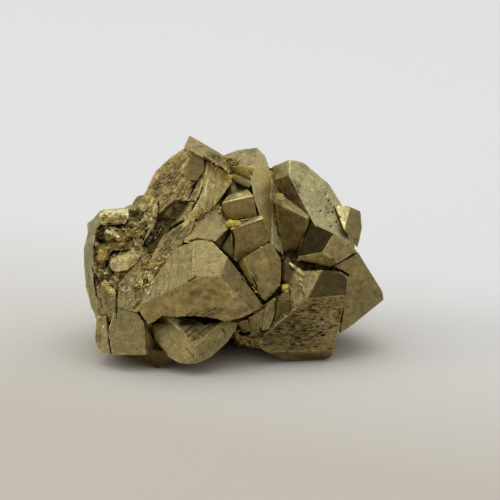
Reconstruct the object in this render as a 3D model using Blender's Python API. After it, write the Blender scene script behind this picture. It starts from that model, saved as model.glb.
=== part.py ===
"""Pyrite specimen: one intergrown cluster of brassy crystals with flat, striated faces.

Every crystal is a convex block bounded by the flat faces it grew. They are grown into each other
and into a common core, so together they make one solid. The cluster rests on the lowest parts
of several crystals.
"""
import math

import bmesh
import bpy
from mathutils import Matrix, Vector

# ---------------------------------------------------------------------------
# Driving dimensions
# ---------------------------------------------------------------------------
MM = 0.001
SQUARE = 0.25 * MM          # the front layout is drawn on squares of a quarter of a millimetre
MID_COLUMN = 235            # layout column over the middle of the cluster
FOOT_ROW = 366              # layout row where the front of the cluster meets the table
FRONT_LEAN = math.radians(15.0)   # the layout is drawn looking down on the cluster by this much
CUT_TABLE = 0.0             # height of the resting plane
TAPER_IN = -0.15            # how far a crystal's hidden sides close in for each unit of depth
CORNER_REACH = 1.8          # where corners are cut: 1 leaves an octahedron and 3 a whole cube
BLOCK = 0.2                 # size of the blank that every crystal is cut from
WELD = 0.00002              # points closer than this are one point

# Three corners of each large face that carries ledges or pits: column, row, millimetres outward
SLOPE_FACE = ((184, 147.5, -12), (150, 188, -11), (190, 221, -2))
STREAKED_FACE = ((190, 221, -2), (233, 181, -11), (208, 158, -7.8))
PITTED_FACE = ((307, 298, 1.5), (345.5, 294.5, 0), (285, 351, -1))
PALE_FACE = ((290, 159, -15), (343, 206, -13.5), (312, 220, -6.5))
PIT_DEPTH = 0.7 * MM
LEDGE_RISE = 0.45 * MM      # how far a ledge stands out of its face

# ---------------------------------------------------------------------------
# Scene and collections
# ---------------------------------------------------------------------------
for old in list(bpy.data.objects):
    bpy.data.objects.remove(old, do_unlink=True)
for old in list(bpy.data.meshes):
    bpy.data.meshes.remove(old)

cluster = bpy.data.collections.new("pyrite_specimen")
bpy.context.scene.collection.children.link(cluster)
blanks = bpy.data.collections.new("crystal_blanks")
bpy.context.scene.collection.children.link(blanks)
gaps = bpy.data.collections.new("gap_cutters")
bpy.context.scene.collection.children.link(gaps)

pyrite = bpy.data.materials.new("pyrite")
pyrite.use_nodes = True
surface = pyrite.node_tree.nodes["Principled BSDF"]
surface.inputs["Base Color"].default_value = (0.48, 0.40, 0.24, 1.0)
surface.inputs["Metallic"].default_value = 0.9
surface.inputs["Roughness"].default_value = 0.4
pyrite.diffuse_color = (0.48, 0.40, 0.24, 1.0)


# ---------------------------------------------------------------------------
# Helpers
# ---------------------------------------------------------------------------
def layout_point(column, row, out):
    """Right, up and outward distances of a layout point, in metres; out is in millimetres."""
    return Vector(((column - MID_COLUMN) * SQUARE, (FOOT_ROW - row) * SQUARE, out * MM))


def face_plane(points):
    """Outward normal and offset of the flat face through three known corners."""
    first, second, third = points
    normal = (second - first).cross(third - first).normalized()
    if normal.z < 0.0:
        normal = -normal
    return normal, normal.dot(first)


def known_corners(face, corners):
    """Three corners of a face whose depth is given and that aren't in one line."""
    found = [corners[key] for key in face if corners[key] is not None]
    for third in found[2:]:
        spread = (found[1].xy - found[0].xy).to_3d().cross((third.xy - found[0].xy).to_3d())
        if spread.length > 1e-7:
            return found[0], found[1], third
    return None


def solve_faces(drawn, faces):
    """Planes of the drawn faces, filling in the depth of corners drawn without one."""
    corners = {}
    for key, drawing in drawn.items():
        corners[key] = layout_point(*drawing) if len(drawing) == 3 else None
    planes = {}
    while len(planes) < len(faces):
        for face in faces:
            points = known_corners(face, corners)
            if face in planes or points is None:
                continue
            normal, offset = face_plane(points)
            planes[face] = (normal, offset)
            for key in face:
                if corners[key] is None:
                    flat = layout_point(drawn[key][0], drawn[key][1], 0.0)
                    flat.z = (offset - normal.x * flat.x - normal.y * flat.y) / normal.z
                    corners[key] = flat
    return corners, list(planes.values())


def outline(corners):
    """Corners of the convex outline of a crystal seen from the front, counter-clockwise."""
    ordered = sorted(corners.values(), key=lambda point: (point.x, point.y))

    def half(points):
        chain = []
        for point in points:
            while len(chain) > 1:
                step = chain[-1].xy - chain[-2].xy
                turn = step.x * (point.y - chain[-2].y) - step.y * (point.x - chain[-2].x)
                if turn > 2e-8:
                    break
                chain.pop()
            chain.append(point)
        return chain[:-1]

    return half(ordered) + half(ordered[::-1])


def cut(mesh, normal, offset):
    """Cut away what lies beyond a plane and close the cut with a flat face."""
    geometry = mesh.verts[:] + mesh.edges[:] + mesh.faces[:]
    result = bmesh.ops.bisect_plane(mesh, geom=geometry, dist=1e-7, plane_co=normal * offset,
                                    plane_no=normal, clear_outer=True)
    rim = [item for item in result["geom_cut"] if isinstance(item, bmesh.types.BMEdge)]
    rim = [edge for edge in rim if edge.is_boundary]
    if len(rim) > 2:
        bmesh.ops.holes_fill(mesh, edges=rim, sides=0)


def tilt():
    """Turn from the layout's right, up and outward axes to the standing cluster's axes."""
    return Matrix.Rotation(math.radians(90.0) - FRONT_LEAN, 4, "X")


def keep(name, mesh, group):
    """Add a finished blank to the crystals or to the gaps between them."""
    data = bpy.data.meshes.new(name)
    mesh.to_mesh(data)
    mesh.free()
    blank = bpy.data.objects.new(name, data)
    blank.hide_render = True
    blank.display_type = "WIRE"
    group.objects.link(blank)


def crystal(name, back, drawn, faces, taper=TAPER_IN, group=blanks):
    """A crystal drawn from the front: its seen faces, its sides going back, and its back."""
    corners, planes = solve_faces(drawn, faces)
    rim = outline(corners)
    for here, there in zip(rim, rim[1:] + rim[:1]):
        along = there - here
        out = Vector((along.y, -along.x, 0.0)).normalized()
        normal = along.cross(Vector((0.0, 0.0, -1.0)) + out * taper).normalized()
        if normal.dot(out) < 0.0:
            normal = -normal
        planes.append((normal, normal.dot(here)))
    planes.append((Vector((0.0, 0.0, -1.0)), -back * MM))
    mesh = bmesh.new()
    bmesh.ops.create_cube(mesh, size=BLOCK)
    for normal, offset in planes:
        cut(mesh, normal, offset)
    bmesh.ops.remove_doubles(mesh, verts=mesh.verts, dist=WELD)
    bmesh.ops.transform(mesh, matrix=tilt(), verts=mesh.verts)
    keep(name, mesh, group)


def gap(name, back, rim, taper=-0.03, front=12):
    """An opening between crystals: its rim drawn from the front, narrowing to its floor."""
    drawn = {}
    for key, (column, row) in zip("abcdefghijkl", rim):
        drawn[key] = (column, row, front)
    crystal(name, back, drawn, ["".join(drawn)], taper=taper, group=gaps)


def on_face(column, row, face):
    """Point of a face at a place of the layout, with the face's outward normal."""
    normal, offset = face_plane([layout_point(*corner) for corner in face])
    point = layout_point(column, row, 0.0)
    point.z = (offset - normal.x * point.x - normal.y * point.y) / normal.z
    return point, normal


def ledge(name, face, start, end, half_width):
    """A flat growth ledge along a face: a bar that stands a little out of it."""
    first, normal = on_face(*start, face)
    last, normal = on_face(*end, face)
    along = (last - first).normalized()
    across = normal.cross(along)
    pose = Matrix((along, across, normal)).transposed().to_4x4()
    pose.translation = (first + last) / 2.0 - normal * LEDGE_RISE
    mesh = bmesh.new()
    bmesh.ops.create_cube(mesh, size=2.0)
    half_size = ((last - first).length / 2.0, half_width * MM, 2.0 * LEDGE_RISE)
    bmesh.ops.transform(mesh, matrix=Matrix.Diagonal((*half_size, 1.0)), verts=mesh.verts)
    for side in (-1.0, 1.0):
        cut(mesh, Vector((side, 0.4, 0.5)).normalized(), half_size[0] * 0.86)
    bmesh.ops.transform(mesh, matrix=tilt() @ pose, verts=mesh.verts)
    keep(name, mesh, blanks)


def pit(name, face, centre, half_length, half_height):
    """A short slot in a face, along its streaks."""
    point, normal = on_face(*centre, face)
    column, row = centre
    floor = (point.z - PIT_DEPTH) / MM
    gap(name, floor, [
        (column - half_length, row + 0.3), (column - half_length * 0.4, row - half_height),
        (column + half_length, row - 0.3), (column + half_length * 0.5, row + half_height)],
        front=point.z / MM + 2)


def hidden_crystal(name, centre, half_size, turn, reach=CORNER_REACH):
    """A crystal on the far side: a cube or bar with its corners cut, turned as it grew."""
    mesh = bmesh.new()
    bmesh.ops.create_cube(mesh, size=BLOCK)
    half = Vector(half_size) * MM
    for axis in range(3):
        for side in (-1.0, 1.0):
            normal = Vector((0.0, 0.0, 0.0))
            normal[axis] = side
            cut(mesh, normal, half[axis])
    for side_x in (-1.0, 1.0):
        for side_y in (-1.0, 1.0):
            for side_z in (-1.0, 1.0):
                normal = Vector((side_x / half.x, side_y / half.y, side_z / half.z))
                cut(mesh, normal.normalized(), reach / normal.length)
    pose = Matrix.Rotation(math.radians(turn[2]), 4, "Z")
    pose = pose @ Matrix.Rotation(math.radians(turn[1]), 4, "Y")
    pose = pose @ Matrix.Rotation(math.radians(turn[0]), 4, "X")
    pose = Matrix.Translation(layout_point(*centre)) @ pose
    bmesh.ops.transform(mesh, matrix=tilt() @ pose, verts=mesh.verts)
    keep(name, mesh, blanks)


# ---------------------------------------------------------------------------
# Front crystals
# ---------------------------------------------------------------------------
# Big block in the middle front: light cap, streaked left face, stained lower face, right face
crystal("front_block", -12, {
    "a": (194, 241, 2), "b": (205, 239.5), "c": (213, 241.5), "d": (221, 249), "e": (227, 259),
    "f": (220.5, 276.5, 9.4), "g": (194, 278.5, 9.8), "j": (147, 301, 8.4), "i": (160, 269),
    "h": (176, 248), "m": (139, 309), "n": (150, 325), "q": (222, 322), "r": (240, 318),
    "s": (251, 310), "t": (265, 304), "u": (232, 262)},
    ["gfabcde", "gajih", "gfjmnqrs", "festu"])

# Nose under the big block: left face, streaked upper face, right face, all meeting low in front
crystal("nose", -8, {
    "i": (195, 345, 8.5), "k": (176, 321, 4.5), "n": (222, 323, 3), "b": (151, 327, 1),
    "a": (162, 316), "c": (153, 333), "d": (158, 342), "e": (170, 357), "f": (180, 362),
    "g": (190, 363), "r": (213, 355, 6.5), "p": (234, 332), "o": (240, 321), "q": (228, 341),
    "h": (200, 361.5), "l": (184, 318), "m": (200, 318)},
    ["ikbacdefg", "iknlm", "inrpoqh"])

# Low left: the block's smooth foot, its strip and middle, and the dark facet under them
crystal("under_facet", -14, {
    "a": (118, 353, 1), "b": (146, 349, 4), "c": (158, 368, 1.5), "d": (172, 360),
    "e": (165, 350), "f": (132, 358.5)},
    ["abcdef"])
crystal("left_foot", -14, {
    "a": (117, 303, 1.5), "b": (133, 307, 2.5), "c": (113, 354, 4.5), "d": (146, 350),
    "e": (145, 325), "f": (140, 315), "g": (109, 330), "h": (160, 350, 0)},
    ["abcdefg", "edh"])
crystal("left_strip", -12, {
    "a": (97, 316, -1), "b": (108, 315, 1.5), "c": (113, 354, 2), "d": (106, 354),
    "e": (100, 351), "f": (95.5, 340)},
    ["abcdef"])
crystal("left_mid", -12, {
    "a": (99, 284, -2.5), "b": (115, 284, 0), "c": (119, 318, 2.5), "d": (108, 322),
    "e": (97, 312)},
    ["abcde"])

# Left block: backing mass, curved rim, bright top ledge, granular middle and the lump in the hollow
crystal("left_back", -26, {
    "a": (101, 209.5, -11), "b": (129, 207.5, -11), "c": (160, 222), "d": (165, 300),
    "e": (146, 351), "f": (106, 353, -2.5), "g": (96, 335), "h": (90, 307), "i": (87, 295),
    "j": (84, 270), "k": (83.5, 250), "l": (88, 231), "m": (94, 217)},
    ["abfcdeghijklm"], taper=-0.25)
crystal("left_rim", -16, {
    "a": (96, 217), "b": (106, 214, -5), "c": (98, 238), "d": (95, 262, -3), "e": (97, 285),
    "f": (104, 312), "g": (97, 318), "h": (91, 307), "i": (87, 295), "j": (83.5, 262, -8),
    "k": (83.5, 248), "l": (88, 231)},
    ["bdjacefghikl"])
crystal("left_top", -16, {
    "a": (101, 210, -9), "b": (128, 208, -10), "c": (127, 214.5, -5), "d": (101, 214.5, -5.5),
    "f": (101, 226, -7), "g": (126, 224)},
    ["abcd", "dcfg"])
crystal("left_grain", -14, {
    "a": (118, 285), "b": (136, 264, -2), "c": (155, 263, -1), "d": (162, 272),
    "e": (150, 300, 3), "f": (138, 312), "g": (117, 306), "h": (114, 292)},
    ["bceadfgh"])
crystal("left_lump", -14, {
    "a": (110, 263, -4), "b": (115, 256, -4.5), "c": (133, 252), "d": (139, 257),
    "e": (135, 265, -1.5), "f": (116, 271)},
    ["abecdf"])
crystal("nub", -18, {
    "a": (131, 206, -11), "b": (133, 201, -12), "c": (137, 195.5), "d": (149, 193.5),
    "e": (158, 200, -9), "f": (150, 212)},
    ["abecdf"])

# Upper left: the long rough slope with its streaked right face, the smooth block on its ridge,
# and the plate that ends in the highest point
crystal("slope", -24, {
    "a": SLOPE_FACE[0], "b": (190, 146), "c": (168, 161), "d": SLOPE_FACE[1], "e": (132, 207),
    "f": (150, 216), "g": (168, 209), "h": SLOPE_FACE[2], "i": STREAKED_FACE[1],
    "j": STREAKED_FACE[2], "k": (214, 208), "l": (224, 170)},
    ["adhbcefg", "hijkl"])
crystal("ridge_block", -14, {
    "a": (194, 150, -7.5), "b": (204, 158, -6.5), "c": (196, 181, -5.5), "d": (184, 174),
    "e": (190, 155), "f": (204, 171), "g": (188, 180)},
    ["abcdefg"])
crystal("top_plate", -19, {
    "a": (189, 135, -9.5), "b": (222, 154, -10.5), "c": (231, 172, -8), "d": (222, 166),
    "e": (205, 157, -6), "f": (194, 147), "g": (184, 147.5)},
    ["abecdfg"])
crystal("recess_ridge", -14, {
    "a": (180, 213, -3), "b": (196, 217, -2.5), "c": (192, 230), "d": (184, 244, 0.5),
    "e": (166, 262), "f": (149, 282), "g": (150, 262), "h": (162, 238), "i": (172, 224)},
    ["abdcefghi"])

# Middle: the pale slab over the big block and the column of three blocks beside it
crystal("slab", -14, {
    "a": (186, 238.5, 1.8), "b": (214, 237.5, 1.8), "c": (192, 221, -3.5), "d": (218, 212),
    "e": (227, 225), "f": (220, 232), "g": (190, 228), "h": (230, 231, -3),
    "i": (222, 246, -1.5), "j": (201, 219)},
    ["abcdefgj", "bhief"])
crystal("chip", -12, {
    "a": (221, 247, -1.5), "b": (231, 233, -2), "c": (233.5, 245), "d": (233, 258, -0.5),
    "e": (225, 252)},
    ["abdce"])
crystal("upper_block", -16, {
    "a": (222, 203, -3), "b": (252, 196, -4.5), "c": (227, 219, -4.5), "d": (259, 216),
    "e": (221, 208), "f": (250, 219.5), "g": (228, 195, -7.5), "h": (248, 188.5)},
    ["abcdef", "abgh"])
crystal("middle_block", -16, {
    "a": (232, 229, -0.5), "b": (260, 219.5, -2.5), "c": (237, 262, -3), "d": (269, 241),
    "e": (255, 254), "f": (247, 261), "g": (232, 258), "h": (231, 228), "i": (239, 223, -4),
    "j": (259, 217)},
    ["abcdefg", "abihj"])
crystal("lower_block", -16, {
    "a": (246, 263, -0.5), "b": (268, 243, -4.5), "c": (265, 301, 0.5), "d": (273, 244),
    "e": (281, 260), "f": (281, 277), "g": (280, 286), "h": (257, 290), "i": (250, 258),
    "j": (238, 263, -3.5), "k": (250, 284, -2.5)},
    ["abcdefghi", "ahjk"])

# Top middle: the tall narrow blade, its head and the ledge below the head
crystal("blade", -22, {
    "a": (257, 147, -15), "b": (250, 156, -11.5), "c": (270, 243, -6), "d": (248.5, 167),
    "e": (251, 178), "f": (254, 198), "g": (262, 222), "h": (272, 243), "i": (272, 180),
    "j": (266, 156), "s": (282, 258, -11), "t": (276, 200)},
    ["bacdefghij", "hist"])
crystal("blade_head", -22, {
    "a": (257, 147, -15), "b": (250, 156, -11.2), "c": (248.5, 167, -9), "d": (236, 166, -12),
    "e": (240, 157), "f": (222, 154, -15.5), "g": (225, 159), "h": (232, 172, -14),
    "i": (243, 180), "j": (251, 178), "k": (240, 149)},
    ["cdbe", "bafgke", "cdhij"])
crystal("blade_ledge", -20, {
    "a": (232, 173, -12), "b": (243, 179.5), "c": (253, 181, -9.5), "d": (249, 188, -11),
    "e": (233, 181)},
    ["acdbe"])

# Top right: the large pale crystal, the bright one on its shoulder and the dark ones under it
crystal("right_top", -30, {
    "a": PALE_FACE[0], "b": PALE_FACE[1], "c": PALE_FACE[2], "d": (289, 175),
    "e": (303, 203), "f": (330, 239), "g": (350, 246), "h": (304, 162), "i": (330, 184),
    "j": (272, 166, -19), "k": (275, 180), "l": (276, 186, -15), "m": (310, 216)},
    ["abcdefghi", "adjk", "dclmk"])
crystal("bright_end", -24, {
    "a": (335, 206, -12), "b": (350, 209, -10.5), "c": (344, 230, -7), "d": (342, 205),
    "e": (340, 222), "f": (361, 211), "g": (362.5, 228, -12.5), "h": (359, 245),
    "i": (355, 249)},
    ["abcde", "bcgfhi"])
crystal("dark_block", -20, {
    "a": (277, 203, -8), "b": (308, 219, -5), "c": (297, 249, -9), "d": (282, 255),
    "e": (295, 214), "f": (286, 209.5), "g": (307, 229), "h": (280, 230), "i": (290, 252),
    "j": (276, 194, -11), "k": (282, 193.5), "l": (295, 203), "m": (309, 215)},
    ["abcdefghi", "abjklm"])
crystal("right_middle", -18, {
    "a": (330, 239, -4), "d": (322, 252, -3.8), "b": (352, 247, -5), "c": (337, 262),
    "e": (345, 240), "f": (342, 258), "g": (309, 222, -9.5), "h": (297, 260), "i": (320, 254),
    "j": (300, 243), "k": (316, 259), "l": (330, 267, -5.5)},
    ["adbcef", "adghijk", "dclk"])

# Low right: the leaning end crystal, the pitted crystal with its streaked upper face,
# and the small ones wedged between it and the big block
crystal("right_end", -26, {
    "a": (340, 259, -6), "b": (384, 300, -10), "c": (339, 334, -4.5), "d": (359, 255),
    "e": (350, 257), "f": (333, 268), "h": (383, 292), "i": (371, 273), "j": (350, 327),
    "k": (336, 300)},
    ["abcdefhijk"])
crystal("pitted_crystal", -24, {
    "a": PITTED_FACE[0], "b": PITTED_FACE[1], "c": PITTED_FACE[2], "d": (339, 334),
    "e": (336, 350.5), "f": (342, 315), "g": (262, 349), "h": (258, 340), "i": (272, 322),
    "j": (291, 313), "k": (322, 270, -1), "l": (347.5, 280), "m": (344, 275), "n": (333, 270),
    "o": (292, 270, -6), "p": (289, 301), "q": (288, 291), "r": (303, 274),
    "s": (310, 360, -5), "t": (331, 357.5), "u": (283, 360), "v": (275, 355)},
    ["abcdefghij", "abklmn", "akopqr", "cestuv"])
crystal("wedge_upper", -12, {
    "a": (276, 297, -2), "b": (288, 289, -2), "c": (290, 301, -0.5), "d": (278, 301)},
    ["abcd"])
crystal("wedge_lower", -12, {
    "a": (277, 301, 0.5), "b": (289, 301, 0.5), "c": (291, 313), "d": (288, 319),
    "e": (275, 318.5, 0), "f": (276, 308)},
    ["abecdf"])
crystal("shard_large", -12, {
    "a": (266, 303, 0), "b": (275, 297, -1), "c": (277, 301), "d": (276, 310),
    "e": (270, 329, 1), "f": (262, 330), "g": (256, 320), "h": (252, 314)},
    ["abecdfgh"])
crystal("shard_middle", -12, {
    "a": (248, 317, 1), "b": (257, 314, 2), "c": (260, 330, 0.5), "d": (250, 331)},
    ["abcd"])
crystal("shard_small", -12, {
    "a": (238, 322, 0), "b": (248, 319, 1), "c": (250, 331, -0.5), "d": (242, 332)},
    ["abcd"])
crystal("dark_column", -14, {
    "a": (283, 262, -6), "b": (288, 256, -6), "c": (291, 262), "d": (293, 275),
    "e": (292, 283, -5), "f": (287, 286), "g": (282, 280)},
    ["abecdfg"])
crystal("low_matrix", -20, {
    "a": (232, 330, -4), "b": (262, 330, -3.5), "c": (262, 349, -6), "d": (250, 347.5),
    "e": (236, 341)},
    ["abcde"])

# Growth ledges on the long slope and on its streaked face: from one end to the other, half width
SLOPE_LEDGES = (
    ((178, 160), (146, 197), 0.9), ((183, 172), (163, 197), 1.1), ((188, 186), (176, 202), 0.8),
    ((168, 172), (152, 190), 0.7), ((166, 193), (150, 207), 0.9))
STREAK_LEDGES = (
    ((212, 166), (199, 212), 0.8), ((219, 172), (206, 206), 0.7), ((225, 178), (214, 200), 0.6))
for number, (start, end, half_width) in enumerate(SLOPE_LEDGES):
    ledge("slope_ledge_%d" % number, SLOPE_FACE, start, end, half_width)
for number, (start, end, half_width) in enumerate(STREAK_LEDGES):
    ledge("streak_ledge_%d" % number, STREAKED_FACE, start, end, half_width)

# ---------------------------------------------------------------------------
# Core and far side
# ---------------------------------------------------------------------------
crystal("core", -32, {
    "a": (120, 235, -11), "b": (205, 178, -16), "c": (265, 165, -18), "d": (328, 190, -18),
    "e": (345, 260, -14), "f": (330, 322, -10), "g": (250, 338, -9), "h": (150, 338, -8.5),
    "i": (110, 290, -9), "j": (215, 285, -6), "k": (290, 270, -8), "l": (205, 235, -9)},
    ["jklbc", "jkgf", "jlia", "jgh", "kcde"], taper=-0.35)
# Large crystals of the far side
hidden_crystal("back_left_low", (132, 292, -23), (9, 9, 9), (12, 24, 8))
hidden_crystal("back_left_mid", (140, 250, -26), (9, 9, 9), (-18, 20, 32), 2.2)
hidden_crystal("back_left_top", (178, 214, -24), (8, 8, 9), (25, -14, 40))
hidden_crystal("back_top", (214, 192, -24), (8, 8, 8), (15, 32, -12), 2.3)
hidden_crystal("back_blade", (254, 200, -28), (7, 9, 8), (-22, 12, 16))
hidden_crystal("back_right_top", (296, 214, -28), (8, 8, 8), (30, 18, 38))
hidden_crystal("back_right_mid", (316, 254, -27), (8, 8, 9), (10, -28, 20), 2.2)
hidden_crystal("back_right_low", (334, 290, -24), (7, 7, 9), (-15, 35, 30))
hidden_crystal("back_foot_right", (292, 318, -27), (11, 8, 9), (8, 14, -10))
hidden_crystal("back_foot_middle", (232, 296, -31), (11, 9, 8), (20, -25, 14))
hidden_crystal("back_foot_left", (170, 316, -26), (10, 9, 9), (-10, 38, -24))
hidden_crystal("back_middle", (205, 250, -34), (10, 10, 7), (14, 22, 30), 2.3)
hidden_crystal("back_upper_right", (268, 248, -34), (9, 9, 7), (-24, -16, 12))

# Smaller crystals that sit between and on the large ones
hidden_crystal("small_back_a", (238, 262, -40), (4.5, 5, 4), (20, 30, 15), 2.1)
hidden_crystal("small_back_b", (180, 282, -38), (5, 4.5, 4), (-15, 22, 38), 2.3)
hidden_crystal("small_back_c", (226, 222, -36), (4.5, 4.5, 4.5), (32, -20, 10))
hidden_crystal("small_back_d", (286, 288, -38), (5.5, 4.5, 4), (12, 40, -20), 2.5)
hidden_crystal("small_back_e", (304, 240, -37), (4, 5, 4), (-28, 14, 24))
hidden_crystal("small_back_f", (160, 236, -35), (4.5, 4.5, 4), (18, -34, 42), 2.4)
hidden_crystal("small_back_g", (256, 318, -37), (4.5, 4, 4.5), (26, 12, -36))
hidden_crystal("small_back_h", (120, 268, -31), (3.5, 4.5, 4), (14, 28, 12))
hidden_crystal("small_left_a", (103, 292, -19), (3.5, 4.5, 4), (-20, 16, 28))
hidden_crystal("small_left_b", (104, 252, -23), (4, 4, 4), (24, 38, 6))
hidden_crystal("small_top_a", (232, 172, -22), (4, 3.5, 4), (38, 10, 22))
hidden_crystal("small_top_b", (196, 186, -30), (4, 4, 4), (-12, 30, 34))
hidden_crystal("small_top_c", (278, 186, -27), (4, 4, 4.5), (22, 26, -14))
hidden_crystal("small_right_a", (346, 262, -22), (4, 4, 4), (30, -18, 20))
hidden_crystal("small_right_b", (352, 304, -17), (3.5, 3.5, 4), (16, 34, 40))
hidden_crystal("small_right_c", (328, 226, -28), (4, 4, 4), (-24, 28, 8))
hidden_crystal("small_under_a", (206, 330, -12), (5, 3.5, 5), (10, 24, 18))
hidden_crystal("small_under_b", (250, 330, -17), (5, 3.5, 5), (-14, 12, 30))
hidden_crystal("small_under_c", (156, 338, -8), (3, 4, 5), (8, 14, 12))

# Lumps in the hollow of the left block
hidden_crystal("hollow_a", (102, 254, -4.5), (1.9, 1.6, 1.8), (24, 35, 18))
hidden_crystal("hollow_b", (113, 234, -7), (2.2, 1.3, 1.8), (40, 20, 12))
hidden_crystal("hollow_c", (122, 240, -7), (1.5, 1.4, 1.6), (-30, 25, 44))
hidden_crystal("hollow_d", (134, 228, -7), (2.4, 1.6, 1.8), (20, 15, -24))
hidden_crystal("hollow_e", (108, 275, -4), (1.6, 1.8, 1.6), (12, 40, 30))
hidden_crystal("hollow_f", (146, 262, -3), (2.0, 1.5, 1.6), (34, -18, 22))
hidden_crystal("hollow_g", (143, 284, -0.5), (2.2, 1.6, 1.8), (28, 22, 50))
hidden_crystal("hollow_h", (109, 288, -0.8), (1.7, 1.4, 1.5), (15, -32, 26))
hidden_crystal("grain_middle", (230, 223.5, -3.2), (1.5, 1.0, 1.6), (12, 20, 10))
hidden_crystal("grain_right", (284, 288, -1.2), (0.9, 0.8, 1.6), (18, 24, 40))

# ---------------------------------------------------------------------------
# Gaps between the crystals, and pits in their faces
# ---------------------------------------------------------------------------
# Deep dark recess between the long slope and the left block
gap("recess_upper", -13, [
    (174, 200), (183, 201), (181, 211), (171, 220), (160, 226), (158, 219), (167, 207)])
gap("recess_lower", -13, [(159, 218), (172, 219), (156, 241), (146, 252), (140, 250), (147, 235)])
# Gap over the dark upper face of the pitted crystal
gap("overhang_gap", -14, [
    (294, 257), (300, 260), (316, 263), (334, 268), (346, 273), (334, 271), (322, 270), (303, 271)])
# Gap along the upper right edge of the big block
gap("block_gap", -9, [(230, 258), (237, 262), (262, 296), (266, 303), (262, 300), (244, 280), (232, 264)])
# Recess under the big block, and the triangular opening below the blade's head
gap("nose_recess", -4, [(186, 320), (196, 316), (220, 317), (208, 328), (198, 326)])
gap("head_gap", -19, [(234, 182), (248, 187), (230, 194), (221, 199), (228, 191)])

# Pits in the pitted face and in the large pale one: place, half length and half height
PITS = (
    (276, 322, 3.0, 1.0), (287, 318, 2.6, 0.9), (299, 310, 3.2, 1.1), (309, 305, 2.4, 0.9),
    (292, 326, 3.4, 1.1), (303, 321, 2.6, 1.0), (315, 315, 3.0, 1.1), (281, 331, 2.8, 1.0),
    (298, 333, 2.2, 0.9), (310, 329, 3.2, 1.0), (271, 340, 2.6, 1.0), (287, 342, 3.0, 1.0),
    (305, 340, 2.4, 0.9), (322, 325, 2.4, 0.9), (326, 306, 2.2, 0.8), (268, 332, 2.2, 0.9))
PALE_PITS = ((322, 196, 1.4, 0.9), (329, 206, 1.6, 1.0), (336, 221, 1.3, 0.9), (326, 188, 1.1, 0.8))
for number, (column, row, long, high) in enumerate(PITS):
    pit("pit_%02d" % number, PITTED_FACE, (column, row), long, high)
for number, (column, row, long, high) in enumerate(PALE_PITS):
    pit("pale_pit_%d" % number, PALE_FACE, (column, row), long, high)

# ---------------------------------------------------------------------------
# One solid
# ---------------------------------------------------------------------------


def settle(target, operation, group):
    """Join a group of blanks to the target, or cut them out of it."""
    change = target.modifiers.new(group.name, "BOOLEAN")
    change.operation = operation
    change.operand_type = "COLLECTION"
    change.collection = group
    change.solver = "EXACT"
    graph = bpy.context.evaluated_depsgraph_get()
    result = bmesh.new()
    result.from_mesh(target.evaluated_get(graph).to_mesh())
    target.modifiers.clear()
    bmesh.ops.remove_doubles(result, verts=result.verts, dist=WELD)
    result.to_mesh(target.data)
    result.free()


def shells(mesh):
    """The separate closed shells of a mesh, the largest first."""
    waiting = set(mesh.verts)
    found = []
    while waiting:
        shell = {waiting.pop()}
        edge = set(shell)
        while edge:
            edge = {link.other_vert(vert) for vert in edge for link in vert.link_edges} - shell
            shell |= edge
        waiting -= shell
        found.append(shell)
    return sorted(found, key=len, reverse=True)


start = blanks.objects["core"]
body = bpy.data.objects.new("pyrite_cluster", start.data.copy())
cluster.objects.link(body)
blanks.objects.unlink(start)
settle(body, "UNION", blanks)
settle(body, "DIFFERENCE", gaps)

grown = bmesh.new()
grown.from_mesh(body.data)
# What the lowest crystals would have below the table is gone: these are the flat feet
cut(grown, Vector((0.0, 0.0, -1.0)), -CUT_TABLE)
# Closed pockets in the core are solid pyrite
for pocket in shells(grown)[1:]:
    bmesh.ops.delete(grown, geom=list(pocket), context="VERTS")
bmesh.ops.triangulate(grown, faces=grown.faces)

# Stand the cluster over the origin
low = Vector([min(vert.co[axis] for vert in grown.verts) for axis in range(3)])
high = Vector([max(vert.co[axis] for vert in grown.verts) for axis in range(3)])
middle = (low + high) / 2.0
bmesh.ops.translate(grown, vec=(-middle.x, -middle.y, -low.z), verts=grown.verts)
grown.to_mesh(body.data)
grown.free()
body.data.materials.append(pyrite)
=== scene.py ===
"""Dressed pyrite specimen: an intergrown cluster of brassy crystals on a pale table.

Every crystal is a convex block. Its flat faces carry growth streaks, ledges, pits and grain as
height above the face, its edges are worn and brightened, partly as a painted highlight, and
where it meets its neighbours it sinks into a dark, crusted seam with painted shade beside it.
Pits, gaps and hollows carry painted shade, and each face's tone holds painted light.
"""
import math
from functools import partial
from string import ascii_lowercase

import bpy
import numpy as np
from mathutils.geometry import delaunay_2d_cdt
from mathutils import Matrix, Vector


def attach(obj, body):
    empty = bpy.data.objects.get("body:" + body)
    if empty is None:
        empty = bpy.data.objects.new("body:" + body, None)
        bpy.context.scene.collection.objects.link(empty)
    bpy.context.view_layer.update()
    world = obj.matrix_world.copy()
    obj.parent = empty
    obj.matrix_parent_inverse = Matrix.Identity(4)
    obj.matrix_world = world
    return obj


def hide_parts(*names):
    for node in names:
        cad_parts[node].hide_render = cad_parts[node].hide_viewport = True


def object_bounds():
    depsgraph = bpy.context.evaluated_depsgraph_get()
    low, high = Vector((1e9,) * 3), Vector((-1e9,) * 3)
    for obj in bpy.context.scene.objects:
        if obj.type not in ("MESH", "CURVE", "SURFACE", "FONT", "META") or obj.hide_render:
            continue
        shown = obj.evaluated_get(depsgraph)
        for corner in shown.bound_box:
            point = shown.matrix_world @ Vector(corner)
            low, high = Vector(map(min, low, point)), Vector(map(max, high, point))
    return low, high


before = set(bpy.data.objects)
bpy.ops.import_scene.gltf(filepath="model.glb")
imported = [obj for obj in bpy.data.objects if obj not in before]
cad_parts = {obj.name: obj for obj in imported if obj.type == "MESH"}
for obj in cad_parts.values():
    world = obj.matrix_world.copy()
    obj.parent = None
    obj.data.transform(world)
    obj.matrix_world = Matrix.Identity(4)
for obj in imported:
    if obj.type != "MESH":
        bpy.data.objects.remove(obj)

cad_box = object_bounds()

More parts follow.
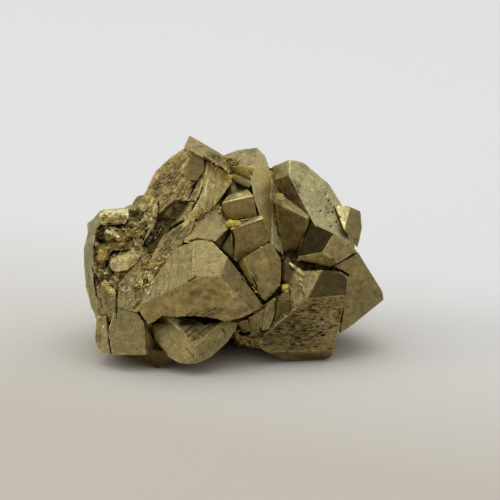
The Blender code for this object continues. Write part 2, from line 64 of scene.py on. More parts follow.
# ---------------------------------------------------------------------------
# Big block in the middle front. The real piece is the largest single crystal of the cluster: solid
# pyrite with a pale cap, a finely streaked left face and a brown stain under the cap's edge. It is
# grown into the crystals behind it, with a hairline crack all round.
# ---------------------------------------------------------------------------
MM = 0.001
SQUARE = 0.25                       # side of a square of the layout, in mm
MIDDLE, FLOOR = 235.0, 366.0        # the layout's middle column and its lowest row
LEAN = math.radians(15.0)           # the layout is drawn looking down on the cluster by this much
SHIFT = np.array((0.312, -21.191, 0.0))     # from the layout's middle to the CAD's own middle
TAPER_IN = -0.15                    # how far hidden sides close in for each unit of depth
FINE, SIDE = 0.29, 0.75             # spacing of points on seen faces and deep down hidden sides
ROW_STEP, STRAY = 0.866, 0.12       # distance of rows, and how far a point strays, in spacings
RIM_BAND = 0.55                     # band beside a rim that stays free of points, in spacings
CLEAR = 0.13                        # no other point comes closer than this to a crack's points
FLAT_RIM, RISE = 0.05, 0.45         # a face is flat beside its rim and then rises to its height
UNDER_SEEN = 3.5                    # depth below the seen faces where the spacing grows
STEEP, FACING = 0.25, 0.2           # steeper faces have upright streaks; marks need a facing one
WELD = 0.02                         # corners closer than this are one corner
WORN = 0.05                         # how far an edge is worn down
# Painted shade: pits and sunk marks are painted darker the deeper they are
PIT_DARK, BLACK_AT = 3.2, 0.35      # darkness of a pit for each mm, and depth of a black mark
TO_STAND = np.array((               # the layout's right, up and outward axes, standing
    (1.0, 0.0, 0.0), (0.0, math.sin(LEAN), math.cos(LEAN)), (0.0, -math.cos(LEAN), math.sin(LEAN))))
crystals = []                       # the flat planes and the box of every crystal grown so far
pieces = []                         # the pieces made so far, with what their points need later


def layout(column, row, out=0.0):
    """Right, up and outward millimetres of a layout square: ((c - 235)/4, (366 - r)/4, out)."""
    return np.array(((column - MIDDLE) * SQUARE, (FLOOR - row) * SQUARE, out))


def places_of(columns, rows):
    """Right and up millimetres of many layout squares."""
    return np.stack(((columns - MIDDLE) * SQUARE, (FLOOR - rows) * SQUARE), axis=1)


def unit(vector):
    """v / |v| for one vector or for each row."""
    return vector / np.maximum(np.linalg.norm(vector, axis=-1, keepdims=True), 1e-12)


def face_plane(corners):
    """Outward normal n = (b - a) x (c - a) and offset n.a of the face through three corners."""
    normal = unit(np.cross(corners[1] - corners[0], corners[2] - corners[0]))
    normal = -normal if normal[2] < 0.0 else normal
    return normal, float(normal @ corners[0])


def seen_faces(drawn, faces):
    """Planes of the drawn faces: each waits for three known corners and gives depth to the rest."""
    known = {key: layout(*spot) for key, spot in drawn.items() if len(spot) == 3}
    planes = {}
    while len(planes) < len(faces):
        for letters in faces:
            found = [known[key] for key in letters if key in known]
            if letters in planes or len(found) < 3:
                continue
            wide = [spot for spot in found[2:]
                    if abs(np.cross((found[1] - found[0])[:2], (spot - found[0])[:2])) > 0.1]
            if not wide:
                continue
            normal, offset = planes[letters] = face_plane((found[0], found[1], wide[0]))
            for key in letters:
                if key not in known:
                    spot = layout(*drawn[key])
                    spot[2] = (offset - normal[:2] @ spot[:2]) / normal[2]
                    known[key] = spot
    return known, [planes[letters] for letters in faces]


def outline(known):
    """Convex outline of the corners seen from the front, counter-clockwise, one chain each way."""
    ordered = sorted(known.values(), key=lambda spot: (spot[0], spot[1]))

    def half(spots):
        chain = []
        for spot in spots:
            while len(chain) > 1 and np.cross((chain[-1] - chain[-2])[:2],
                                              (spot - chain[-2])[:2]) <= 0.02:
                chain.pop()
            chain.append(spot)
        return chain[:-1]

    return half(ordered) + half(ordered[::-1])


def crystal(name, back, drawn, faces, taper=TAPER_IN, side=("smooth", 0.85, 0.5, 90)):
    """A crystal drawn from the front: its corners are a, b, c... in turn, each with a depth where
    no face gives it, and each face has a look (kind, tone, warmth, streak angle). A face's tone is
    its tarnish and also painted light: faces that lie in shade are made brighter and others darker,
    lit and shaded copies of the one metal. Sides go back along the outline, closing in by the
    taper, to a flat back."""
    known, planes = seen_faces(dict(zip(ascii_lowercase, drawn)), [face[0] for face in faces])
    looks = [face[1:] for face in faces]
    rim = outline(known)
    for here, there in zip(rim, rim[1:] + rim[:1]):
        out = unit(np.array((there[1] - here[1], here[0] - there[0], 0.0)))
        normal = unit(np.cross(there - here, np.array((0.0, 0.0, -1.0)) + out * taper))
        normal = -normal if normal @ out < 0.0 else normal
        planes.append((normal, float(normal @ here)))
    planes.append((np.array((0.0, 0.0, -1.0)), -float(back)))
    looks += [side] * (len(planes) - len(looks))
    return name, planes, looks, len(faces)


def clip(corners, normal, offset):
    """The part of a convex face behind a plane: each side that crosses it is cut where n.p = d."""
    height = corners @ normal - offset
    ahead, beyond = np.roll(corners, -1, 0), np.roll(height, -1)
    kept = []
    for here, there, low, high in zip(corners, ahead, height, beyond):
        if low <= 0.0:
            kept.append(here)
        if (low <= 0.0) != (high <= 0.0):
            kept.append(here + (there - here) * low / (low - high))
    return np.array(kept).reshape(-1, 3)


def face_loops(planes):
    """Corners of every flat face, shared between neighbours: the face's plane cut by all others."""
    shared, loops = [], []
    for number, (normal, offset) in enumerate(planes):
        side = unit(np.cross(normal, (0.3, 0.5, 0.8)))
        up = np.cross(normal, side)
        face = normal * offset + np.array((-side - up, side - up, side + up, up - side)) * 200.0
        for other, (cut, depth) in enumerate(planes):
            if other != number and len(face):
                face = clip(face, cut, depth)
        loop = []
        for corner in face:
            near = [key for key, spot in enumerate(shared) if np.linalg.norm(spot - corner) < WELD]
            if not near:
                shared.append(corner)
            key = near[0] if near else len(shared) - 1
            if not loop or (key != loop[-1] and key != loop[0]):
                loop.append(key)
        loops.append(loop if len(loop) > 2 else [])
    return np.array(shared), loops


def lattice(places, seed):
    """Smooth noise in -1..1: the lattice values round p, blended along each axis by 3t^2 - 2t^3."""
    places = np.atleast_2d(places)
    size = 24 if places.shape[1] == 3 else 96
    table = np.random.default_rng(seed).uniform(-1.0, 1.0, (size,) * places.shape[1])
    cell = np.floor(places).astype(int)
    part = places - cell
    part = part * part * (3.0 - 2.0 * part)
    total = np.zeros(len(places))
    for corner in np.ndindex(*(2,) * places.shape[1]):
        weight = np.prod(np.where(np.array(corner) == 1, part, 1.0 - part), axis=1)
        total += weight * table[tuple(((cell + corner) % size).T)]
    return total


def steps(height, count):
    """Flat terraces: whole steps of height * count, joined by short ramps."""
    scaled = height * count
    floor = np.floor(scaled)
    return (floor + np.clip((scaled - floor) * 4.0, 0.0, 1.0)) / count


# How each kind of face is built up, in mm: waves, streak ledges with their width and run, fine
# ledges, pits for each square mm with their depth, and grain with its size. The last two numbers
# are the strength of the painted streaks and of the brown film of a rough face.
KIND_WORDS = ("wave", "ledge", "width", "run", "fine", "pits", "pit", "grain", "size", "streak",
              "rough")
KINDS = {name: dict(zip(KIND_WORDS, row)) for name, *row in (
    ("smooth", 0.05, 0.020, 1.6, 14.0, 0.008, 0.06, 0.10, 0.008, 0.8, 0.16, 0.0),
    ("clean", 0.02, 0.008, 1.6, 16.0, 0.004, 0.03, 0.08, 0.006, 0.8, 0.0, 0.0),
    ("streaked", 0.05, 0.035, 0.8, 15.0, 0.022, 0.05, 0.15, 0.010, 0.7, 1.0, 0.0),
    ("ridged", 0.07, 0.13, 1.1, 15.0, 0.06, 0.10, 0.25, 0.03, 0.6, 0.9, 0.15),
    ("pitted", 0.05, 0.16, 0.55, 2.6, 0.05, 0.5, 0.35, 0.02, 0.6, 0.9, 0.1),
    ("rough", 0.14, 0.28, 0.9, 4.5, 0.14, 0.5, 0.22, 0.07, 0.6, 0.9, 0.45),
    ("sandy", 0.12, 0.05, 1.0, 3.0, 0.05, 0.5, 0.20, 0.08, 0.5, 0.15, 0.45),
    ("grainy", 0.35, 0.06, 1.2, 4.0, 0.06, 0.6, 0.5, 0.20, 1.0, 0.1, 1.0))}


def face_height(kind, across, along, area, seed):
    """Height over a flat face in mm and how pitted each point is. With x across and y along the
    streaks: waves + terraces of noise(x/width, y/run) + fine ledges + grain - pits, where a pit is
    depth * (1 - (x/half width)^2 - (y/half length)^2) about its middle."""
    look = KINDS[kind]
    spot = np.stack((across, along), axis=1)
    bend = across + 0.5 * lattice(spot / 7.0, seed + 1)
    height = look["wave"] * lattice(spot / 5.0, seed + 2)
    broad = np.stack((bend / look["width"], along / look["run"]), axis=1)
    height += look["ledge"] * steps(lattice(broad, seed + 3), 3.0)
    narrow = np.stack((bend / (0.42 * look["width"]), along / (0.4 * look["run"])), axis=1)
    height += look["fine"] * lattice(narrow, seed + 4)
    height += look["grain"] * lattice(spot / look["size"], seed + 5)
    height += look["grain"] * 0.6 * lattice(spot * 2.1 / look["size"], seed + 6)
    rng = np.random.default_rng(seed + 7)
    count = int(area * look["pits"])
    pick = rng.integers(0, len(across), count)
    long = rng.uniform(0.35, 1.1, count) if kind == "pitted" else rng.uniform(0.15, 0.45, count)
    wide = rng.uniform(0.16, 0.36, count)
    depth = look["pit"] * rng.uniform(0.4, 1.0, count)
    sunk = np.zeros(len(across))
    for here in range(count):
        far = ((across - across[pick[here]]) / wide[here]) ** 2
        far += ((along - along[pick[here]]) / long[here]) ** 2
        sunk = np.maximum(sunk, depth[here] * np.clip(1.0 - far, 0.0, 1.0))
    return height - sunk, sunk


def to_line(places, path):
    """Distance of each place to a broken line, in squares: the least over its straight parts."""
    path = np.array(path, dtype=float)
    least = np.full(len(places), np.inf)
    for here, there in zip(path[:-1], path[1:]):
        step = there - here
        part = np.clip((places - here) @ step / (step @ step), 0.0, 1.0)
        least = np.minimum(least, np.linalg.norm(places - here - part[:, None] * step, axis=1))
    return least


def inside(places, rim):
    """How far inside a closed outline each place is, in squares, and 0 outside it."""
    rim = np.array(rim, dtype=float)
    within = np.zeros(len(places), dtype=bool)
    for here, there in zip(rim, np.roll(rim, -1, 0)):
        crosses = (here[1] > places[:, 1]) != (there[1] > places[:, 1])
        reach = (there[0] - here[0]) * (places[:, 1] - here[1]) / (there[1] - here[1] + 1e-9)
        within ^= crosses & (places[:, 0] < here[0] + reach)
    return np.where(within, to_line(places, list(rim) + [rim[0]]), 0.0)


def crack(path, width=0.8, sink=0.35, dark=1.0, tone_and_light=0.0, only=""):
    """A crack or scratch drawn from the front along a broken line, its half width in squares."""
    return dict(shape="line", path=path, reach=width, sink=sink, dark=dark, tone_and_light=tone_and_light, only=only)


def stain(middle, size, soil=0.0, crust=0.0, sink=0.0, tone_and_light=0.0, turn=0.0, etch=0.0, dark=0.0,
          only=""):
    """A soft oval patch drawn from the front: soiled brown, crusted, etched, sunk or black. Its
    soil also serves as painted shade, and its black is painted shade in pits, crevices and hollows.
    """
    return dict(shape="oval", middle=middle, size=size, soil=soil, crust=crust, sink=sink,
                tone_and_light=tone_and_light, turn=turn, etch=etch, dark=dark, only=only)


def opening(rim, sink, steep=1.6, dark=1.0):
    """An open gap drawn from the front, that goes back by its depth within its outline and is
    painted dark: painted shade.
    """
    return dict(shape="area", rim=rim, sink=sink, steep=steep, dark=dark, back=True)


def cut(rim, floor, steep=8.0, dark=0.9):
    """A piece broken out, drawn from the front: what stands before the floor goes back to it, and
    its walls are painted dark as painted shade.
    """
    return dict(shape="area", rim=rim, sink=1.0, steep=steep, dark=dark, floor=floor)


def mark_weight(mark, spots, seed):
    """0..1 over a mark: 1 - distance/reach for a line, 1 - r^2 for an oval, depth for an area."""
    if mark["shape"] == "line":
        wander = 0.35 * lattice(spots / 5.0, seed)
        return np.clip(1.3 - (to_line(spots, mark["path"]) + wander) / mark["reach"], 0.0, 1.0)
    if mark["shape"] == "oval":
        turn = math.radians(mark["turn"])
        away = spots - np.array(mark["middle"])
        long = (away[:, 0] * math.cos(turn) - away[:, 1] * math.sin(turn)) / mark["size"][0]
        high = (away[:, 0] * math.sin(turn) + away[:, 1] * math.cos(turn)) / mark["size"][1]
        ragged = 0.45 * lattice(spots / 7.0, seed) + 0.3 * lattice(spots / 2.5, seed + 1)
        within = 1.0 - long * long - high * high
        return np.clip(1.25 * within + ragged * (np.abs(within) < 1.0), 0.0, 1.0)
    deep = inside(spots, mark["rim"])
    return np.clip(deep * mark["steep"] * SQUARE / mark["sink"], 0.0, 1.0)


def add(tree, kind, fill=(), **settings):
    """One shader node: its settings, then a value or a linked socket for each input in fill."""
    made = tree.nodes.new(kind)
    for key, setting in settings.items():
        setattr(made, key, setting)
    for key, given in dict(fill).items():
        if isinstance(given, bpy.types.NodeSocket):
            tree.links.new(given, made.inputs[key])
        else:
            made.inputs[key].default_value = given
    return made


def sums(tree, how, first, second, clamp=False):
    """first (add, multiply, ...) second, as one number."""
    made = add(tree, "ShaderNodeMath", {0: first, 1: second}, operation=how, use_clamp=clamp)
    return made.outputs[0]


def blended(tree, share, first, second, how="MIX"):
    """The mix of two colours by a share in 0..1."""
    made = add(tree, "ShaderNodeMix", {0: share, 6: first, 7: second}, data_type="RGBA",
               blend_type=how, clamp_factor=True)
    return made.outputs[2]


def ramp(tree, given, low, high, start=0.0, end=1.0):
    """The number taken from low..high to start..end, and held there beyond."""
    made = add(tree, "ShaderNodeMapRange", {0: given, 1: low, 2: high, 3: start, 4: end},
               clamp=True)
    return made.outputs[0]


def noise(tree, places, scale, detail=3.0, rough=0.55):
    """Cloudy noise in 0..1."""
    made = add(tree, "ShaderNodeTexNoise", {"Vector": places, "Scale": scale, "Detail": detail,
                                            "Roughness": rough})
    return made.outputs["Fac"]


def pyrite_finish():
    """Dull brassy metal. Corner colour "look" holds tone, warmth, roughness and streaks; the tone
    of a face holds painted light as well as tarnish. The point colour of dirt and shade holds dark
    cracks with painted shade in pits, gaps and cut walls, iron crust, worn edges that are also
    brightened as a painted highlight, and brown soil with painted shade beside the seams. UV
    "streaks" is in millimetres, across and along the streaks."""
    finish = bpy.data.materials.new("pyrite_metal")
    finish.use_nodes = True
    tree = finish.node_tree
    tree.nodes.clear()
    times, plus, minus, most = (partial(sums, tree, how) for how in (
        "MULTIPLY", "ADD", "SUBTRACT", "MAXIMUM"))
    node, eased, mixed, cloudy = (partial(made, tree) for made in (add, ramp, blended, noise))
    place = node("ShaderNodeTexCoord").outputs["Object"]
    look = node("ShaderNodeAttribute", attribute_name="look")
    tone_and_light, warm, rough = node("ShaderNodeSeparateColor", {0: look.outputs["Color"]}).outputs
    streaky = look.outputs["Alpha"]
    dirt_and_shade = node("ShaderNodeAttribute", attribute_name="dirt_and_shade")
    cracks_and_shade, crust, worn = node("ShaderNodeSeparateColor", {0: dirt_and_shade.outputs["Color"]}).outputs
    seam_shade_and_soil = dirt_and_shade.outputs["Alpha"]
    grid = node("ShaderNodeUVMap", uv_map="streaks").outputs[0]

    def stretched(across, along):
        return node("ShaderNodeVectorMath", {0: grid, 1: (across, along, 1.0)},
                    operation="MULTIPLY").outputs[0]

    hair = cloudy(stretched(5.0, 0.22), 1.0, 3.0, 0.6)
    bands = cloudy(stretched(1.5, 0.10), 1.0, 2.0)
    clouds = cloudy(place, 170.0, 4.0)
    mottle = cloudy(place, 620.0, 4.0, 0.65)
    specks = cloudy(place, 1500.0, 2.0, 0.5)
    grit = cloudy(place, 2600.0, 3.0, 0.7)

    # Colour: pale greenish brass to brown tarnish, more even on a face without streaks
    uneven = eased(streaky, 0.0, 0.08, 0.35, 1.0)
    drift = times(minus(clouds, 0.5), 1.1)
    warmth = plus(warm, times(drift, uneven))
    warmth = plus(warmth, eased(tone_and_light, 0.3, 1.0, 0.6, 0.0))
    metal = mixed(plus(warmth, 0.0, True), (0.46, 0.412, 0.198, 1.0), (0.42, 0.312, 0.118, 1.0))
    spots = times(eased(clouds, 0.3, 0.7, 0.84, 1.14), eased(mottle, 0.3, 0.7, 0.66, 1.32))
    spots = plus(1.0, times(minus(spots, 1.0), uneven))
    # Each face's tone holds painted light as well as tarnish: faces in shade are brightened, others
    # darkened
    level = times(tone_and_light, spots)
    level = times(level, eased(grit, 0.3, 0.7, 0.72, 1.26))
    lines = eased(hair, 0.35, 0.65, -0.28, 0.22)
    lines = plus(lines, eased(bands, 0.35, 0.65, -0.14, 0.12))
    level = times(level, plus(1.0, times(lines, streaky)))
    dots = eased(specks, 0.62, 0.72, 0.0, 0.45)
    etch = node("ShaderNodeAttribute", attribute_name="etch").outputs["Fac"]
    dashes = cloudy(stretched(2.6, 0.62), 1.0, 3.0, 0.65)
    dashes = eased(plus(dashes, times(etch, 0.13)), 0.57, 0.66)
    dashes = times(dashes, eased(etch, 0.0, 0.15))
    level = times(level, minus(1.0, dots))
    # Rims are brightened by half: worn metal, and a painted highlight along every edge
    level = times(level, plus(1.0, times(worn, 0.50)))
    grey = node("ShaderNodeCombineColor", {0: level, 1: level, 2: level}).outputs[0]
    colour = mixed(1.0, metal, grey, "MULTIPLY")

    # Brown film between the grains of rough faces, ochre iron crust, brown soil and painted shade
    # beside the seams, and dark cracks with painted shade in pits, gaps and cut walls
    film = times(rough, eased(mottle, 0.42, 0.60, 0.75, 0.0))
    colour = mixed(film, colour, (0.105, 0.070, 0.032, 1.0))
    spread = plus(crust, times(minus(mottle, 0.5), 1.3))
    crusted = times(eased(spread, 0.42, 0.62), eased(crust, 0.02, 0.2))
    yellow = eased(plus(clouds, times(mottle, 0.5)), 0.58, 0.86)
    ochre = mixed(yellow, (0.50, 0.32, 0.095, 1.0), (0.86, 0.70, 0.25, 1.0))
    ochre = mixed(eased(grit, 0.30, 0.50, 0.60, 0.0), ochre, (0.10, 0.06, 0.025, 1.0))
    colour = mixed(crusted, colour, ochre)
    # Brown soil and painted shade beside the seams, and etched dashes, darken the colour
    deep = plus(times(seam_shade_and_soil, 0.8), eased(grit, 0.35, 0.65, -0.18, 0.18), True)
    deep = times(deep, eased(seam_shade_and_soil, 0.0, 0.12))
    deep = most(deep, times(dashes, 0.80))
    colour = mixed(deep, colour, (0.050, 0.036, 0.020, 1.0))
    # Cracks go near black, and so does painted shade in pits, gaps and cut walls
    colour = mixed(eased(cracks_and_shade, 0.25, 0.75), colour, (0.012, 0.009, 0.006, 1.0))

    cover = most(crusted, eased(cracks_and_shade, 0.2, 0.8))
    cover = most(cover, times(film, 0.7))
    metallic = eased(cover, 0.0, 1.0, 0.90, 0.05)
    gloss = plus(eased(mottle, 0.3, 0.7, 0.36, 0.46), times(cover, 0.35))
    gloss = minus(gloss, times(rough, 0.06))

    # Fine relief that is smaller than the mesh: streak lines, mottling and specks
    relief = times(hair, streaky)
    relief = plus(relief, times(mottle, 0.35))
    relief = plus(relief, times(grit, plus(times(rough, 0.9), 0.12)))
    relief = minus(relief, times(dots, 0.7))
    relief = minus(relief, times(dashes, 1.5))
    bump = node("ShaderNodeBump", {"Strength": 0.55, "Distance": 0.00010, "Height": relief})
    surface = node("ShaderNodeBsdfPrincipled", {
        "Base Color": colour, "Metallic": metallic, "Roughness": gloss,
        "Specular IOR Level": 0.12, "Normal": bump.outputs[0]})
    output = node("ShaderNodeOutputMaterial", {"Surface": surface.outputs[0]})
    output.is_active_output = True
    return finish


pyrite_metal = pyrite_finish()


def sides(loop):
    """The sides of a closed loop of keys: here, there, and the side's own name for both faces."""
    return [(here, there, (min(here, there), max(here, there)))
            for here, there in zip(loop, loop[1:] + loop[:1])]


def skin(planes, looks, seen, marks, seed, fine):
    """Points and triangles over every flat face of one crystal. Rims are sampled once and shared,
    and inside a rim stand rows of points across the streaks, joined by Delaunay's rule. A point
    moves to p + n * height(across, along) * fade(distance to the rim); rim points sink by wear."""
    corners, loops = face_loops(planes)
    points, shares = [corners], {}
    total = len(corners)
    for number, loop in enumerate(loops):
        close = fine if number < seen else max(fine, SIDE)
        for here, there, key in sides(loop):
            length = np.linalg.norm(corners[here] - corners[there])
            shares[key] = max(shares.get(key, 1), int(round(length / close)))
    for key, count in list(shares.items()):
        part = (np.arange(1, count) / count)[:, None]
        points.append(corners[key[0]] * (1.0 - part) + corners[key[1]] * part)
        shares[key] = np.arange(total, total + count - 1)
        total += count - 1
    rim_total = total
    table = np.array([np.append(normal, offset) for normal, offset in planes])
    faces, colours, grids, owner, highs, sinks = ([] for _ in range(6))
    for number, loop in enumerate(loops):
        if not loop:
            continue
        normal, offset = planes[number]
        kind, tone_and_light, warm, turn = looks[number]
        angle = math.radians(turn)
        along = np.array((math.cos(angle), math.sin(angle), 0.0))
        if abs(normal[2]) > STEEP:
            along[2] = -(normal[:2] @ along[:2]) / normal[2]
        else:
            along = np.cross(normal, np.cross((0.05, 0.05, 1.0), normal))
        along = unit(along)
        across = np.cross(along, normal)
        home = normal * offset

        def laid(spots):
            return np.stack((spots @ across, spots @ along), axis=1)

        def raised(places):
            return home + places[:, :1] * across + places[:, 1:] * along

        rim = []
        for here, there, key in sides(loop):
            rim += [here] + list(shares[key] if here < there else shares[key][::-1])
        flat = laid(np.concatenate(points)[rim])
        turning = np.roll(flat, -1, 0)
        if np.sum(flat[:, 0] * turning[:, 1] - flat[:, 1] * turning[:, 0]) < 0.0:
            rim, flat = rim[::-1], flat[::-1]
        edge = laid(corners[loop])
        ahead = np.roll(edge, -1, 0) - edge
        area = 0.5 * abs(np.sum(edge[:, 0] * np.roll(edge[:, 1], -1)
                                - edge[:, 1] * np.roll(edge[:, 0], -1)))
        inward = unit(np.stack((-ahead[:, 1], ahead[:, 0]), axis=1))
        inward *= np.sign(np.sum(inward * (edge.mean(axis=0) - edge), axis=1))[:, None]

        def to_rim(places):
            return np.min((places[:, None, :] - edge[None]) * inward[None] @ np.ones(2), axis=1)

        low, high = flat.min(axis=0), flat.max(axis=0)
        rng = np.random.default_rng(seed + number)
        rows = np.arange(low[1], high[1], fine * ROW_STEP)
        places = np.stack(np.meshgrid(np.arange(low[0], high[0], fine), rows), axis=-1)
        places[1::2, :, 0] += fine / 2.0
        places = places.reshape(-1, 2)
        places += rng.uniform(-STRAY, STRAY, places.shape) * fine
        spots = raised(places)
        keep = to_rim(places) > fine * RIM_BAND
        if number >= seen > 0:
            # Deep down the sides one point in nine is enough
            deep = np.min(table[:seen, 3] - spots @ table[:seen, :3].T, axis=1)
            every = (np.arange(len(places)) % 3 == 0) & (np.floor(places[:, 1] / fine) % 3 == 0)
            keep &= (deep < UNDER_SEEN) | every
        places = places[keep]
        for mark in marks:
            path = mark.get("path")
            if number >= seen or path is None:
                continue
            # Rows of points on and beside the line give a crack its own walls
            path = np.array(path, dtype=float)
            run = []
            for here, there in zip(path[:-1], path[1:]):
                part = np.arange(0.0, 1.0, 0.5 / max(np.linalg.norm(there - here), 0.5))[:, None]
                run.append(here * (1.0 - part) + there * part)
            run = np.concatenate(run)
            side = unit(np.gradient(run, axis=0))[:, ::-1] * (1.0, -1.0) * mark["reach"] * 0.75
            run = np.concatenate((run, run + side, run - side))
            right, up = places_of(*run.T).T
            out = (offset - normal[0] * right - normal[1] * up) / normal[2]
            extra = laid(np.stack((right, up, out), axis=1))
            extra = extra[to_rim(extra) > 0.12]
            if len(extra):
                near = np.min(np.linalg.norm(places[:, None] - extra[None], axis=2), axis=1)
                places = np.concatenate((places[near > CLEAR], extra))
        every = np.concatenate((flat, places))
        done = delaunay_2d_cdt([tuple(place) for place in every.tolist()], [],
                               [list(range(len(flat)))], 1, 1e-7, False)
        if len(done[0]) != len(every):
            every = np.array([tuple(place) for place in done[0]])
            places = every[len(flat):]
        corner = np.array(done[2])
        keys = np.concatenate((np.array(rim), np.arange(total, total + len(places))))
        faces.append(keys[corner])
        points.append(raised(places))
        total += len(places)
        if len(places):
            height, sunk = face_height(kind, places[:, 0], places[:, 1], area,
                                       seed * 7 + number * 13)
            fade = np.clip((to_rim(places) - FLAT_RIM) / RISE, 0.0, 1.0)
            highs.append(normal * (height * fade)[:, None])
            sinks.append(sunk * fade)
        owner.append(np.full(len(places), number))
        shift = np.array((offset * 0.37, seed * 1.7 + number * 3.1))
        grids.append((every[corner] + shift).reshape(-1, 2))
        colours.append(np.tile((tone_and_light, warm, KINDS[kind]["rough"], KINDS[kind]["streak"]),
                               (corner.size, 1)))
    bare = np.concatenate(points)
    normals = np.zeros_like(bare)
    for number, loop in enumerate(loops):
        for here, _, key in sides(loop):
            normals[shares[key]] += planes[number][0]
            normals[here] += planes[number][0]
    inner = np.concatenate(owner) if owner else np.zeros(0, dtype=int)
    normals[rim_total:] = table[inner, :3]
    worn = lattice(bare[:rim_total] / 1.3, 11) + 0.6 * lattice(bare[:rim_total] / 0.45, 12)
    wear = WORN * (1.0 + 1.6 * np.clip(worn, 0.0, 1.5) ** 2)
    lift = np.zeros_like(bare)
    lift[:rim_total] = -normals[:rim_total] * wear[:, None]
    lift[rim_total:] = np.concatenate(highs) if highs else 0.0
    normals = unit(normals)
    edge = np.zeros(len(bare))
    edge[:rim_total] = 1.0
    sunk = np.zeros(len(bare))
    sunk[rim_total:] = np.concatenate(sinks) if sinks else 0.0
    return dict(bare=bare, lift=lift, normals=normals, edge=edge, sunk=sunk,
                faces=np.concatenate(faces), grid=np.concatenate(grids),
                look=np.concatenate(colours))


def paint(mesh, name, domain, colours):
    """A colour layer of a mesh, one row for each point or corner."""
    layer = mesh.attributes.new(name, "FLOAT_COLOR", domain)
    layer.data.foreach_set("color", colours.ravel())


def stand(piece, mesh, finish):
    """One piece of the specimen from its mesh and the given finish, parented to the root body."""
    mesh.materials.append(finish)
    made = bpy.data.objects.new(piece, mesh)
    bpy.context.scene.collection.objects.link(made)
    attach(made, "root")
    return made


def grow(piece, group, marks=(), fine=FINE):
    """One piece of joined crystals: skins every crystal, applies the marks, and keeps what the
    seams need."""
    below = -TO_STAND[:, 2]
    parts, start = [], 0
    for name, planes, looks, seen in group:
        planes = planes + [(below, 0.0)]
        looks = looks + [("smooth", 0.7, 0.5, 0)]
        seed = 40 + 31 * len(crystals)
        part = skin(planes, looks, seen, marks, seed, fine)
        bare = part["bare"]
        normals, offsets = (np.array(column) for column in zip(*planes))
        crystals.append(dict(low=bare.min(axis=0), high=bare.max(axis=0), normals=normals,
                             offsets=offsets))
        part["home"] = np.full(len(bare), len(crystals) - 1)
        spots = np.stack((bare[:, 0] / SQUARE + MIDDLE, FLOOR - bare[:, 1] / SQUARE), axis=1)
        facing = part["normals"][:, 2] > FACING
        # Pits are painted darker the deeper they are: painted shade
        dark = np.clip(part["sunk"] * PIT_DARK, 0.0, 0.95)
        crust, tone_and_light, etch, soil = np.zeros((4, len(bare)))
        for number, mark in enumerate(marks):
            if mark.get("only") and name not in mark["only"]:
                continue
            weight = mark_weight(mark, spots, 500 + number)
            if "floor" in mark:
                part["lift"][:, 2] -= weight * np.maximum(bare[:, 2] - mark["floor"], 0.0)
                dark = np.maximum(dark, mark["dark"] * weight)
                continue
            weight = weight * facing
            way = np.array((0.0, 0.0, 1.0)) if mark.get("back") else part["normals"]
            part["lift"] -= way * (weight * mark["sink"])[:, None]
            depth = max(1.0, mark["sink"] / BLACK_AT)
            dark = np.maximum(dark, mark["dark"] * np.minimum(weight * depth, 1.0))
            soil = np.maximum(soil, weight * mark.get("soil", 0.0))
            crust = np.maximum(crust, weight * mark.get("crust", 0.0))
            tone_and_light += weight * mark.get("tone_and_light", 0.0)
            etch = np.maximum(etch, weight * mark.get("etch", 0.0) * (1.0 - part["edge"]))
        part.update(dark=dark, crust=crust, etch=etch, soil=soil)
        part["look"][:, 0] *= 1.0 + tone_and_light[part["faces"].reshape(-1)]
        part["faces"] = part["faces"] + start
        start += len(bare)
        parts.append(part)
    joined = {key: np.concatenate([part[key] for part in parts]) for key in parts[0]}
    mesh = bpy.data.meshes.new(piece)
    mesh.from_pydata(np.zeros((start, 3)), [], joined["faces"])
    mesh.uv_layers.new(name="streaks").data.foreach_set("uv", joined["grid"].ravel())
    paint(mesh, "look", "CORNER", joined["look"])
    mesh.attributes.new("etch", "FLOAT", "POINT").data.foreach_set("value", joined["etch"])
    made = stand(piece, mesh, pyrite_metal)
    pieces.append((made, joined))
    return made


